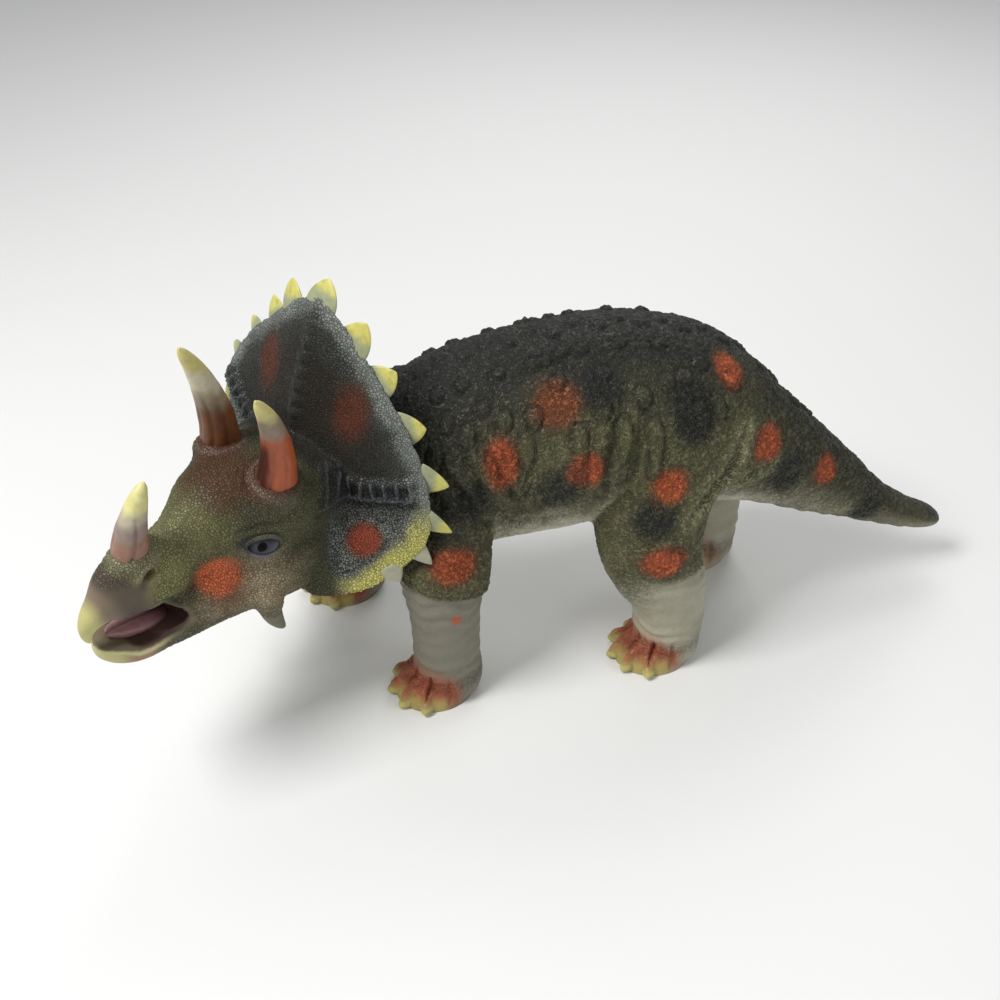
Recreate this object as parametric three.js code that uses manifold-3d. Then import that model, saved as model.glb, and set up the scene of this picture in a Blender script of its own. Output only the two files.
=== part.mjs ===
// A large soft vinyl toy: a walking three-horned dinosaur with a frill, stuffed with polyester fibre.
// Millimetres, +Z up. The nose points to -X, the tail to +X, the animal's left side to -Y.
// The skins are moulded vinyl shells. The head turns on its neck about a disc joint.
import * as THREE from "three";
import { mergeVertices } from "three/addons/utils/BufferGeometryUtils.js";
import Module from "manifold-3d";

const wasm = await Module();
wasm.setup();

// Body, from the neck joint to the tip of the tail
const bodyLength = 453;
const bodyStart = -141; // where the neck end of the body starts along X
const backHeight = 237; // the highest place of the back above the ground
const torsoWidth = 120;
const torsoDepth = 140;
const tailSeamShare = 0.647; // where the tail shell is joined to the torso, of the body's length

// Skins and fits
const skinWall = 3;
const hollowEndShare = 0.85; // past it the tail is solid vinyl
const skullHollowShare = 0.8; // past it the beak is solid vinyl
const seatGap = 0.3; // between pieces that rest on each other
const fillGap = 0.8; // between the stuffing and the skin around it
const soleWall = 7;
const overrun = 20; // how far a cutting shape reaches past what it cuts
const mergeReach = 0.0001;
const strideShare = 0.01; // the step along a form from which its direction is taken
const endShare = 0.499; // from here on a ring is the end ring of a form
const leastShare = 0.05; // of a half size, what an inset always leaves

// Legs: where each one leaves the body and where its ankle stands
const legGirth = 50;
const frontLegHeight = 172;
const rearLegHeight = 182;
const hipOffset = 32; // from the middle plane to the top of each leg
const trackHalf = 48; // from the middle plane to the ankles
const wideHipOffset = 14; // from the middle plane to the top of the front right leg
const wideTrackHalf = 67; // to the front right one, which stands further out
const frontLeftTop = -57;
const frontLeftAnkle = -65;
const frontRightTop = -76;
const frontRightAnkle = -114;
const rearLeftTop = 84;
const rearLeftAnkle = 87;
const rearRightTop = 100;
const rearRightAnkle = 148;
const portRim = 6; // how much narrower the hole in the torso is than the leg's own hollow
const kneeBend = 16;

// Feet
const footReach = 9; // from the ankle to the middle of the foot, forward
const footLength = 53;
const footWidth = 48;
const footHeight = 26;
const toeLength = 14;
const toeWidth = 12;
const toeHeight = 14;
const clawLength = 12.5;
const clawWidth = 9;
const clawHeight = 8.6;
const clawReach = 4.6; // from the middle of a toe to the middle of its claw
const toeRise = 5.4; // from the ground to the middle of a toe
const clawRise = 4.1;
const toeInset = 5; // how far a toe's middle lies inside the outline of the pad
const toeCount = 5;
const toeSpread = THREE.MathUtils.degToRad(140); // the arc that the toes fill, round the front of the foot

// Head, in its own frame: nose to -X, origin between the brow horns
const headPlace = new THREE.Vector3(-154, -26, 185);
const headYaw = THREE.MathUtils.degToRad(39.7);
const headPitch = THREE.MathUtils.degToRad(-2);
const headRoll = THREE.MathUtils.degToRad(10);
const skullLength = 188; // from the neck joint to the tip of the beak
const skullWidth = 80;
const skullDepth = 88;
const jawRoot = 34; // where the jaw starts, behind the head's origin
const jawLength = 173;
const jawWidth = 92;
const jawDepth = 34;
const mouthRoot = 74; // where the mouth ends in the throat, before the head's origin
const mouthLength = 72;
const mouthWidth = 54;
const mouthDepth = 36;
const mouthWall = 2;
const linerReach = 25; // how far the liner comes forward from the throat

// Frill
const frillHeight = 176;
const frillWidth = 178;
const frillPlace = 13; // from the head's origin back to the plate's ridge
const frillCentre = 20; // above the head's origin
const frillThick = 9;
const frillEdge = 5;
const frillSweep = 40; // the unit of how far the rim lies behind the ridge
const frillBow = 1.3; // how full the plate is between its ridge and its rim
const pointLength = 8;
const pointSweep = 11; // how far a point leans back
const pointBase = 25;

// Horns, eyes, cheek horns and tongue
const browHornLength = 72;
const browHornGirth = 23;
const noseHornLength = 42;
const noseHornGirth = 20;
const spigotRadius = 4;
const spigotLength = 13; // below the horn's place
const spigotRise = 8; // above it, inside the horn
const eyeLength = 27;
const eyeHeight = 19;
const eyeTilt = THREE.MathUtils.degToRad(18); // how far its rear corner is turned down
const eyeTurn = THREE.MathUtils.degToRad(20); // how far it looks forward
const dishRadius = 13; // of the hollow round the eye, which is part of a ball outside the skull
const dishReach = 15.5; // from the middle of the eye out to the middle of that ball
const cheekHornLength = 34;
const cheekHornGirth = 18;
const tongueLength = 40;
const tongueWidth = 21;
const tongueDepth = 10;

// Neck joint: a disc with a stem in the head, a washer and a lock ring on the stem in the torso
const neckPlace = 48; // the joint plane, behind the head's origin
const neckDrop = 12; // the joint's axis, below the head's origin
const neckWall = 3;
const jointGap = 0.6; // between the two neck ends
const discRadius = 26;
const discThick = 4;
const stemRadius = 7;
const washerRadius = 20;
const washerThick = 3;
const ringRadius = 13;
const ringThick = 4;
const stemEnd = 3; // how far the stem stands out of the lock ring

// Filling hole under the belly and its plug
const plugShare = 0.355; // where the plug lies, of the body's length
const plugRadius = 7;
const plugFlange = 12;
const plugFlangeThick = 1.4;
const plugSink = 1.2; // how deep the flange lies in the belly

// How finely the round forms are divided
const bodySides = 18;
const bodyRings = 24;
const legSides = 12;
const legRings = 10;
const skullSides = 16;
const skullRings = 14;
const smallSides = 8;
const smallRings = 6;
const toeSides = 6;
const toeRings = 4;
const eyeSides = 12;
const eyeRings = 6;

// Rows of the body: place along it, sidestep, height, and half sizes to the side, up and down
const bodyRowShares = [
  [0, -0.096, 0.726, 0.325, 0.279, 0.279],
  [0.038, 0.021, 0.722, 0.333, 0.286, 0.286],
  [0.075, 0.071, 0.705, 0.35, 0.321, 0.321],
  [0.11, 0.058, 0.686, 0.379, 0.379, 0.379],
  [0.145, 0.025, 0.673, 0.4, 0.424, 0.424],
  [0.204, 0, 0.673, 0.45, 0.466, 0.468],
  [0.272, 0, 0.693, 0.485, 0.48, 0.48],
  [0.349, 0, 0.712, 0.5, 0.485, 0.487],
  [0.437, 0, 0.72, 0.5, 0.482, 0.48],
  [0.519, 0, 0.695, 0.48, 0.446, 0.446],
  [0.582, 0, 0.642, 0.43, 0.378, 0.38],
  [0.631, 0, 0.588, 0.375, 0.312, 0.315],
  [0.684, 0, 0.523, 0.31, 0.26, 0.26],
  [0.738, 0, 0.451, 0.255, 0.22, 0.22],
  [0.796, 0, 0.376, 0.2, 0.172, 0.174],
  [0.835, 0, 0.323, 0.158, 0.134, 0.134],
  [0.877, 0, 0.272, 0.125, 0.106, 0.106],
  [0.918, 0, 0.229, 0.1, 0.088, 0.088],
  [0.965, 0, 0.192, 0.08, 0.07, 0.07],
  [0.989, 0, 0.17, 0.05, 0.042, 0.042],
  [1, 0, 0.158, 0.012, 0.01, 0.01],
];

// Rows of a leg from its top to its sole: height, lean to the ankle, bend, and half sizes side, rear and front
const frontLegRowShares = [
  [1.0, 0, 0, 0.1, 0.12, 0.12],
  [0.94, 0.2, 0, 0.27, 0.5, 0.2],
  [0.83, 0.5, 0, 0.37, 0.6, 0.2],
  [0.7, 0.75, 0, 0.46, 0.62, 0.34],
  [0.6, 0.96, 0, 0.5, 0.6, 0.54],
  [0.53, 1, 0, 0.49, 0.55, 0.52],
  [0.46, 1, 0, 0.46, 0.49, 0.47],
  [0.32, 1, 0, 0.44, 0.46, 0.44],
  [0.18, 1, 0, 0.43, 0.45, 0.43],
  [0.08, 1, 0, 0.45, 0.47, 0.44],
  [0.02, 1, 0, 0.4, 0.43, 0.4],
];
const rearLegRowShares = [
  [1.0, 0, 0, 0.1, 0.14, 0.14],
  [0.94, 0.15, 0.05, 0.3, 0.5, 0.5],
  [0.82, 0.4, 0.25, 0.46, 0.74, 0.76],
  [0.68, 0.7, 0.8, 0.54, 0.72, 0.76],
  [0.55, 0.9, 1, 0.56, 0.68, 0.68],
  [0.44, 0.98, 0.7, 0.54, 0.62, 0.6],
  [0.34, 1, 0.2, 0.5, 0.56, 0.54],
  [0.23, 1, 0, 0.46, 0.5, 0.48],
  [0.12, 1, 0, 0.44, 0.47, 0.45],
  [0.05, 1, 0, 0.44, 0.47, 0.43],
  [0.02, 1, 0, 0.4, 0.43, 0.4],
];

// Rows of the skull from the neck joint to the tip of the beak: place, height, and half sizes side, up and down
const skullRowShares = [
  [-0.043, -0.136, 0.5, 0.455, 0.455],
  [0.032, -0.148, 0.506, 0.466, 0.466],
  [0.128, -0.159, 0.512, 0.42, 0.557],
  [0.234, -0.17, 0.512, 0.386, 0.58],
  [0.351, -0.176, 0.487, 0.415, 0.551],
  [0.447, -0.182, 0.456, 0.42, 0.489],
  [0.527, -0.193, 0.388, 0.386, 0.42],
  [0.59, -0.21, 0.312, 0.307, 0.335],
  [0.654, -0.227, 0.231, 0.244, 0.273],
  [0.739, -0.239, 0.2, 0.227, 0.216],
  [0.824, -0.25, 0.194, 0.273, 0.193],
  [0.899, -0.284, 0.163, 0.222, 0.176],
  [0.952, -0.341, 0.113, 0.142, 0.165],
  [0.984, -0.42, 0.069, 0.091, 0.097],
  [1, -0.489, 0.019, 0.034, 0.045],
];
// Rows of the lower jaw from its root to its tip, in the same columns
const jawRowShares = [
  [0, -1.118, 0.217, 0.412, 0.412],
  [0.069, -1.235, 0.413, 0.882, 0.765],
  [0.185, -1.294, 0.5, 1.118, 0.941],
  [0.301, -1.382, 0.5, 1.118, 0.971],
  [0.416, -1.471, 0.446, 0.941, 0.882],
  [0.526, -1.588, 0.37, 0.765, 0.706],
  [0.624, -1.676, 0.326, 0.676, 0.515],
  [0.694, -1.75, 0.283, 0.441, 0.441],
  [0.763, -1.824, 0.239, 0.309, 0.368],
  [0.832, -1.853, 0.207, 0.294, 0.382],
  [0.902, -1.809, 0.168, 0.265, 0.324],
  [0.954, -1.721, 0.12, 0.206, 0.25],
  [0.983, -1.647, 0.065, 0.118, 0.147],
  [1, -1.618, 0.022, 0.044, 0.044],
];
// Rows of the mouth from its throat to past the lips, in the same columns
const mouthRowShares = [
  [0, -1.472, 0.148, 0.139, 0.139],
  [0.069, -1.417, 0.241, 0.222, 0.222],
  [0.167, -1.347, 0.333, 0.278, 0.278],
  [0.25, -1.278, 0.426, 0.347, 0.361],
  [0.347, -1.236, 0.481, 0.403, 0.444],
  [0.444, -1.208, 0.5, 0.444, 0.514],
  [0.542, -1.194, 0.5, 0.472, 0.542],
  [0.639, -1.208, 0.481, 0.458, 0.5],
  [0.736, -1.25, 0.444, 0.389, 0.361],
  [0.833, -1.333, 0.37, 0.264, 0.208],
  [0.889, -1.389, 0.296, 0.139, 0.125],
  [0.931, -1.417, 0.259, 0.067, 0.067],
  [1, -1.444, 0.259, 0.044, 0.044],
];
// Rows of the tongue from its root to its tip, in the same columns
const tongueRowShares = [
  [0.0, 0.0, 0.2, 0.2, 0.3],
  [0.1, 0.02, 0.42, 0.42, 0.8],
  [0.4, 0.0, 0.5, 0.5, 0.8],
  [0.75, -0.15, 0.4, 0.4, 0.8],
  [0.93, -0.25, 0.25, 0.25, 0.6],
  [1.0, -0.3, 0.06, 0.06, 0.2],
];

// Rows of the brow horn from root to tip: height, forward and outward places, half sizes side, rear and front
const browHornRowShares = [
  [-0.08, -0.03, 0, 0.42, 0.46, 0.46],
  [0.05, 0, 0, 0.46, 0.5, 0.5],
  [0.25, 0.02, 0.02, 0.41, 0.45, 0.45],
  [0.5, 0.08, 0.05, 0.33, 0.36, 0.36],
  [0.75, 0.175, 0.07, 0.23, 0.25, 0.25],
  [0.93, 0.27, 0.08, 0.13, 0.14, 0.14],
  [1, 0.31, 0.08, 0.03, 0.03, 0.03],
];
const noseHornRowShares = [
  [-0.15, 0.05, 0, 0.45, 0.5, 0.5],
  [0.05, 0.03, 0, 0.46, 0.52, 0.52],
  [0.3, 0, 0, 0.41, 0.46, 0.46],
  [0.55, -0.06, 0, 0.34, 0.37, 0.37],
  [0.8, -0.15, 0, 0.24, 0.26, 0.26],
  [0.95, -0.22, 0, 0.13, 0.14, 0.14],
  [1.0, -0.25, 0, 0.03, 0.03, 0.03],
];
const cheekHornRowShares = [
  [-0.3, 0.1, 0, 0.3, 0.3, 0.3],
  [0.0, 0, 0, 0.5, 0.52, 0.5],
  [0.3, -0.06, 0, 0.42, 0.42, 0.42],
  [0.65, -0.16, 0, 0.28, 0.28, 0.28],
  [0.9, -0.28, 0, 0.14, 0.14, 0.14],
  [1.0, -0.34, 0, 0.03, 0.03, 0.03],
];

// Rim of one half of the frill from its top to its chin: shares of half its width, its height and its sweep
const frillRimShares = [
  [0, 0.483, 0.375],
  [0.157, 0.443, 0.375],
  [0.337, 0.358, 0.45],
  [0.506, 0.261, 0.525],
  [0.674, 0.17, 0.575],
  [0.843, 0.045, 0.625],
  [0.944, -0.057, 0.625],
  [1, -0.17, 0.625],
  [1, -0.284, 0.6],
  [0.944, -0.364, 0.475],
  [0.876, -0.426, 0.175],
  [0.82, -0.466, -0.125],
  [0.73, -0.477, -0.45],
  [0.562, -0.477, -0.825],
  [0.225, -0.455, -0.575],
];
// Rings of the plate from its ridge to its rim
const frillBandShares = [0, 0.45, 0.85, 1];
// Where the points stand, as shares of the way along that half rim, and how long each one is
const frillPointShares = [
  [0, 1],
  [0.063, 0.95],
  [0.18, 0.95],
  [0.322, 1],
  [0.453, 1],
  [0.56, 1],
  [0.647, 0.7],
  [0.723, 0.7],
];

// Places on the head, as shares of the skull's length, width and depth: forward, to the side, and up
const browHornPlaceShares = [0.129, 0.29, 0.17];
const noseHornPlaceShares = [0.562, 0, 0.0];
const eyePlaceShares = [0.22, 0.344, -0.185];
const cheekHornPlaceShares = [0.22, 0.47, -0.66];
const tonguePlaceShares = [0.463, 0, -0.69];

// Finishes
const olive = new THREE.MeshStandardMaterial({ color: 0x55583f, roughness: 0.62 });
const legVinyl = new THREE.MeshStandardMaterial({ color: 0x8d9081, roughness: 0.6 });
const headVinyl = new THREE.MeshStandardMaterial({ color: 0x4f5348, roughness: 0.6 });
const hornVinyl = new THREE.MeshStandardMaterial({ color: 0xc9c07a, roughness: 0.5 });
const eyeGloss = new THREE.MeshStandardMaterial({ color: 0x5c5a68, roughness: 0.25 });
const mouthVinyl = new THREE.MeshStandardMaterial({ color: 0x3a1f22, roughness: 0.5 });
const tongueVinyl = new THREE.MeshStandardMaterial({ color: 0x9c5a60, roughness: 0.45 });
const jointPlastic = new THREE.MeshStandardMaterial({ color: 0xd8d6cf, roughness: 0.4 });
const fibre = new THREE.MeshStandardMaterial({ color: 0xf2f1ec, roughness: 0.95 });

// A closed geometry as a solid that can be joined and cut
function solidOf(geometry) {
  const bare = new THREE.BufferGeometry();
  bare.setAttribute("position", geometry.getAttribute("position"));
  bare.setIndex(geometry.index);
  const merged = mergeVertices(bare, mergeReach);
  const { position } = merged.attributes;
  return new wasm.Manifold(
    new wasm.Mesh({
      numProp: 3,
      vertProperties: new Float32Array(position.array),
      triVerts: new Uint32Array(merged.index.array),
    }),
  );
}

// A solid as a named mesh
function meshOf(name, solid, material) {
  const { vertProperties, triVerts } = solid.getMesh();
  const geometry = new THREE.BufferGeometry();
  geometry.setAttribute("position", new THREE.BufferAttribute(vertProperties, 3));
  geometry.setIndex(new THREE.BufferAttribute(triVerts, 1));
  geometry.computeVertexNormals();
  const mesh = new THREE.Mesh(geometry, material);
  mesh.name = name;
  return mesh;
}

// The values of a table of rows at a place from 0 to 1, on a smooth curve through the rows
function rowAt(rows, place) {
  const spot = THREE.MathUtils.clamp(place, 0, 1) * (rows.length - 1);
  const index = Math.min(Math.floor(spot), rows.length - 2);
  const row = (offset) => rows[THREE.MathUtils.clamp(index + offset, 0, rows.length - 1)];
  const [before, start, end, after] = [row(-1), row(0), row(1), row(2)];
  const share = spot - index;
  return start.map((value, column) => {
    const slopeIn = (end[column] - before[column]) / 2;
    const slopeOut = (after[column] - value) / 2;
    const step = value - end[column];
    return (
      value +
      share * slopeIn -
      share * share * (3 * step + 2 * slopeIn + slopeOut) +
      share * share * share * (2 * step + slopeIn + slopeOut)
    );
  });
}

// A closed form laid along rows of [x, y, z, side, up, down]. Side is measured along sideAxis, up square to
// both, inset draws every ring in, and from and to keep a stretch of the form with flat ends.
function loft(rows, sides, rings, sideAxis, { inset = 0, from = 0, to = 1, shift = 0 } = {}) {
  const geometry = new THREE.CylinderGeometry(1, 1, 1, sides, rings);
  const position = geometry.getAttribute("position");
  const spot = new THREE.Vector3();
  const centre = (place) => new THREE.Vector3(...rowAt(rows, place).slice(0, 3));

  for (let i = 0; i < position.count; i++) {
    spot.fromBufferAttribute(position, i);
    const place = from + (to - from) * (0.5 - spot.y);
    const [, , , side, up, down] = rowAt(rows, place);
    const ahead = centre(Math.min(place + strideShare, 1));
    const tangent = ahead.sub(centre(Math.max(place - strideShare, 0))).normalize();
    const across = sideAxis.clone().addScaledVector(tangent, -sideAxis.dot(tangent)).normalize();
    const upward = tangent.clone().cross(across);
    const end = Math.abs(spot.y) > endShare ? Math.sign(spot.y) * shift : 0;
    const lift = spot.z > 0 ? up : down;
    const point = centre(place)
      .addScaledVector(across, spot.x * Math.max(side - inset, side * leastShare))
      .addScaledVector(upward, spot.z * Math.max(lift - inset, lift * leastShare))
      .addScaledVector(tangent, end);
    position.setXYZ(i, point.x, point.y, point.z);
  }
  return geometry;
}

// A box that fills a half space: everything beyond a plane across one axis, in a given frame
function beyond(axis, place, towards, frame = new THREE.Matrix4()) {
  const reach = bodyLength * 2;
  const box = new THREE.BoxGeometry(reach, reach, reach);
  const centre = new THREE.Vector3();
  centre[axis] = place + (towards * reach) / 2;
  box.translate(centre.x, centre.y, centre.z);
  return solidOf(box.applyMatrix4(frame));
}

// A round bar along X between two places, at a height
function bar(radius, start, end, height, sides = bodySides) {
  const geometry = new THREE.CylinderGeometry(radius, radius, end - start, sides);
  geometry.rotateZ(Math.PI / 2);
  geometry.translate((start + end) / 2, 0, height);
  return geometry;
}

const alongY = new THREE.Vector3(0, 1, 0);
const headFrame = new THREE.Matrix4().compose(
  headPlace,
  new THREE.Quaternion().setFromEuler(new THREE.Euler(headRoll, -headPitch, headYaw, "ZYX")),
  new THREE.Vector3(1, 1, 1),
);

// Body: one form from the neck to the tip of the tail, split at the tail seam
const bodyRows = bodyRowShares.map(([along, aside, height, side, up, down]) => [
  bodyStart + along * bodyLength,
  aside * torsoWidth,
  height * backHeight,
  side * torsoWidth,
  up * torsoDepth,
  down * torsoDepth,
]);
function body(options) {
  return solidOf(loft(bodyRows, bodySides, bodyRings, alongY, options));
}
function bodyHollow(inset, shift = 0) {
  const to = Math.round(hollowEndShare * bodyRings) / bodyRings;
  const geometry = loft(bodyRows, bodySides, Math.round(to * bodyRings), alongY, { inset, to, shift });
  return solidOf(geometry);
}
const bodyForm = body();
const tailSeam = bodyStart + tailSeamShare * bodyLength;
const bodySeat = body({ inset: -seatGap });
const neckFront = beyond("x", neckPlace + jointGap / 2, -1, headFrame);
const neckInner = beyond("x", neckPlace + jointGap / 2 + neckWall, -1, headFrame);
const hollow = bodyHollow(skinWall).subtract(neckInner);
const tailSide = beyond("x", tailSeam - seatGap / 2, 1);
const torsoSide = beyond("x", tailSeam + seatGap / 2, -1);
const inHead = (geometry) => solidOf(geometry.applyMatrix4(headFrame));

// Legs
function legRows(rowShares, top, ankle, height, hipY, ankleY) {
  return rowShares.map(([heightShare, lean, bend, side, rear, front]) => [
    THREE.MathUtils.lerp(top, ankle, lean) - bend * kneeBend,
    THREE.MathUtils.lerp(hipY, ankleY, lean),
    heightShare * height,
    side * legGirth,
    rear * legGirth,
    front * legGirth,
  ]);
}

// A rounded lump: a ball drawn out to a size, with its centre at a place
function lump(size, place, turn = 0, sides = toeSides, rings = toeRings) {
  const geometry = new THREE.SphereGeometry(1, sides, rings);
  geometry.scale(size.x / 2, size.y / 2, size.z / 2);
  geometry.rotateZ(turn);
  geometry.translate(place.x, place.y, place.z);
  return geometry;
}

// A foot with its toes and claws, round the front of a pad that reaches below the ground
function foot(ankleX, ankleY) {
  const middle = new THREE.Vector3(ankleX - footReach, ankleY, 0);
  const padSize = new THREE.Vector3(footLength, footWidth, footHeight * 2);
  const parts = [solidOf(lump(padSize, middle, 0, legSides, smallRings))];
  const toeSize = new THREE.Vector3(toeLength, toeWidth, toeHeight);
  const clawSize = new THREE.Vector3(clawLength, clawWidth, clawHeight);
  for (let i = 0; i < toeCount; i++) {
    const turn = toeSpread * (i / (toeCount - 1) - 0.5);
    const outX = -Math.cos(turn);
    const outY = Math.sin(turn);
    const reachX = footLength / 2 - toeInset;
    const reachY = footWidth / 2 - toeInset;
    const toe = new THREE.Vector3(outX * reachX, outY * reachY, toeRise).add(middle);
    const claw = new THREE.Vector3(outX, outY, 0).multiplyScalar(clawReach).add(toe);
    claw.z = clawRise;
    parts.push(solidOf(lump(toeSize, toe, -turn)), solidOf(lump(clawSize, claw, -turn)));
  }
  return parts.reduce((whole, part) => whole.add(part));
}

const ground = beyond("z", 0, -1);
const legSpecs = [
  ["front_left", frontLegRowShares, frontLeftTop, frontLeftAnkle, frontLegHeight, -hipOffset, -trackHalf],
  ["front_right", frontLegRowShares, frontRightTop, frontRightAnkle, frontLegHeight, wideHipOffset, wideTrackHalf],
  ["rear_left", rearLegRowShares, rearLeftTop, rearLeftAnkle, rearLegHeight, -hipOffset, -trackHalf],
  ["rear_right", rearLegRowShares, rearRightTop, rearRightAnkle, rearLegHeight, hipOffset, trackHalf],
];
const legs = legSpecs.map(([name, rowShares, top, ankle, height, hipY, ankleY]) => {
  const rows = legRows(rowShares, top, ankle, height, hipY, ankleY);
  const solid = (options) => solidOf(loft(rows, legSides, legRings, alongY, options));
  const outer = solid().add(foot(ankle, ankleY)).subtract(ground);
  const aboveSole = beyond("z", soleWall, -1);
  const inner = solid({ inset: skinWall }).subtract(aboveSole);
  const port = solid({ inset: skinWall + portRim });
  const aboveFill = beyond("z", soleWall + fillGap, -1);
  const fill = solid({ inset: skinWall + fillGap }).subtract(aboveFill).subtract(bodySeat);
  return { name, shell: outer.subtract(inner).subtract(bodySeat), port, fill };
});

// Belly plug, in a shallow seat round the filling hole
const plugPlace = bodyStart + plugShare * bodyLength;
const bellyRow = bodyRows.map(([x, , z, , , down]) => [x, z - down]);
const bellyAfter = bellyRow.findIndex(([x]) => x > plugPlace);
const [bellyStart, bellyEnd] = [bellyRow[bellyAfter - 1], bellyRow[bellyAfter]];
const bellyShare = (plugPlace - bellyStart[0]) / (bellyEnd[0] - bellyStart[0]);
const bellyHeight = THREE.MathUtils.lerp(bellyStart[1], bellyEnd[1], bellyShare);
function upright(radius, low, high) {
  const geometry = new THREE.CylinderGeometry(radius, radius, high - low, bodySides);
  geometry.rotateX(Math.PI / 2);
  geometry.translate(plugPlace, 0, (low + high) / 2);
  return solidOf(geometry);
}
const seatTop = bellyHeight + plugSink;
const flangeTop = seatTop - seatGap;
const plugTop = bellyHeight + skinWall;
const plugSeat = upright(plugFlange + seatGap, bellyHeight - overrun, seatTop);
const plugHole = upright(plugRadius + seatGap, seatTop - overrun, seatTop + overrun);
const plug = upright(plugFlange, flangeTop - plugFlangeThick, flangeTop).add(
  upright(plugRadius, flangeTop - plugFlangeThick, plugTop),
);

// Torso and tail
const ports = legs.reduce((whole, { port }) => whole.add(port), plugHole);
const stemHole = inHead(bar(stemRadius + seatGap, -overrun, neckPlace + overrun, -neckDrop));
const torso = bodyForm
  .subtract(hollow)
  .subtract(neckFront)
  .subtract(tailSide)
  .subtract(ports)
  .subtract(plugSeat)
  .subtract(stemHole);
const tail = bodyForm.subtract(bodyHollow(skinWall)).subtract(torsoSide);

// Washer and lock ring on the stem, inside the torso, and the disc inside the head
const torsoLip = neckPlace + jointGap / 2 + neckWall;
const headLip = neckPlace - jointGap / 2 - neckWall;
const washerStart = torsoLip + seatGap;
const ringStart = washerStart + washerThick + seatGap;
const stemStop = ringStart + ringThick + stemEnd;
const discStop = headLip - seatGap;
const disc = solidOf(bar(discRadius, discStop - discThick, discStop, -neckDrop)).add(
  solidOf(bar(stemRadius, discStop - discThick, stemStop, -neckDrop)),
);
const stemClear = solidOf(bar(stemRadius + seatGap, -overrun, stemStop + overrun, -neckDrop));
const washer = solidOf(bar(washerRadius, washerStart, washerStart + washerThick, -neckDrop));
const ring = solidOf(bar(ringRadius, ringStart, ringStart + ringThick, -neckDrop));
const jointRoom = inHead(bar(washerRadius + fillGap, neckPlace, stemStop + fillGap, -neckDrop));

const bodyFill = bodyHollow(skinWall + fillGap, fillGap);
const torsoFill = bodyFill
  .subtract(beyond("x", torsoLip + fillGap, -1, headFrame))
  .subtract(beyond("x", tailSeam - fillGap, 1))
  .subtract(jointRoom)
  .subtract(upright(plugRadius + fillGap, bellyHeight - overrun, plugTop + fillGap));
const tailFill = bodyFill.subtract(beyond("x", tailSeam + fillGap, -1));

// Head
function headRows(rowShares, start, length, width, depth) {
  return rowShares.map(([along, height, side, up, down]) => [
    start - along * length,
    0,
    height * depth,
    side * width,
    up * depth,
    down * depth,
  ]);
}
const skullRows = headRows(skullRowShares, neckPlace, skullLength, skullWidth, skullDepth);
const jawRows = headRows(jawRowShares, jawRoot, jawLength, jawWidth, jawDepth);
const mouthRows = headRows(mouthRowShares, -mouthRoot, mouthLength, mouthWidth, mouthDepth);
const downY = new THREE.Vector3(0, -1, 0);
const headLoft = (rows, options) => solidOf(loft(rows, skullSides, skullRings, downY, options));
const smallLoft = (rows, options) => solidOf(loft(rows, smallSides, smallRings, downY, options));

// A place on the head from shares of the skull's sizes
function onHead([along, aside, above], sideSign = 1) {
  return new THREE.Vector3(-along * skullLength, sideSign * aside * skullWidth, above * skullDepth);
}

// Frill: a dished plate whose rim carries the points
function frillGeometry() {
  const halfRim = frillRimShares.map(
    ([side, up, back]) => new THREE.Vector3(back * frillSweep, (side * frillWidth) / 2, up * frillHeight),
  );
  const rimCurve = new THREE.CatmullRomCurve3(halfRim);
  const rimLength = rimCurve.getLength();
  const marks = [];
  for (const [share, size] of frillPointShares) {
    for (const offset of [-1, 0, 1]) {
      const place = share + (offset * pointBase) / 2 / rimLength;
      if (place >= 0) marks.push([place, size * (1 - Math.abs(offset))]);
    }
  }
  marks.push([1, 0]);
  marks.sort((a, b) => a[0] - b[0]);
  const mirrored = ([point, size]) => [new THREE.Vector3(point.x, -point.y, point.z), size];
  const side = marks.map(([place, size]) => [rimCurve.getPointAt(Math.min(place, 1)), size]);
  const rim = [...side, ...side.slice(1).map(mirrored).reverse()];
  const bands = frillBandShares;
  const geometry = new THREE.SphereGeometry(1, rim.length, (bands.length - 1) * 2);
  const position = geometry.getAttribute("position");
  const columns = rim.length + 1;
  for (let i = 0; i < position.count; i++) {
    const column = (i % columns) % rim.length;
    const row = Math.floor(i / columns);
    const band = bands[Math.min(row, (bands.length - 1) * 2 - row)];
    const front = row < bands.length - 1 ? -1 : 1;
    const atRim = row === bands.length - 1;
    const [rimPoint, size] = rim[column];
    const thick = THREE.MathUtils.lerp(frillThick, frillEdge, band);
    const outward = new THREE.Vector3(0, rimPoint.y, rimPoint.z).normalize();
    const point = rimPoint.clone().multiplyScalar(band);
    point.x = frillPlace + rimPoint.x * band ** frillBow;
    if (atRim) {
      point.addScaledVector(outward, size * pointLength);
      point.x += size * pointSweep;
    } else {
      point.x += (front * thick) / 2;
    }
    point.z += frillCentre;
    position.setXYZ(i, point.x, point.y, point.z);
  }
  return geometry;
}

// A horn on the head: rows rise along Z, lean forward to -X and spread to one side
function hornRows(rowShares, place, length, girth, sideSign, direction = 1) {
  return rowShares.map(([rise, forward, out, side, rear, front]) => [
    place.x - forward * length,
    place.y + sideSign * out * length,
    place.z + direction * rise * length,
    side * girth,
    rear * girth,
    front * girth,
  ]);
}

// A spigot down from a horn's root into the head
function spigot(place, gap) {
  const radius = spigotRadius + gap;
  const geometry = new THREE.CylinderGeometry(radius, radius, spigotLength + spigotRise, smallSides);
  geometry.rotateX(Math.PI / 2);
  geometry.translate(place.x, place.y, place.z + (spigotRise - spigotLength) / 2);
  return solidOf(geometry);
}

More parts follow.
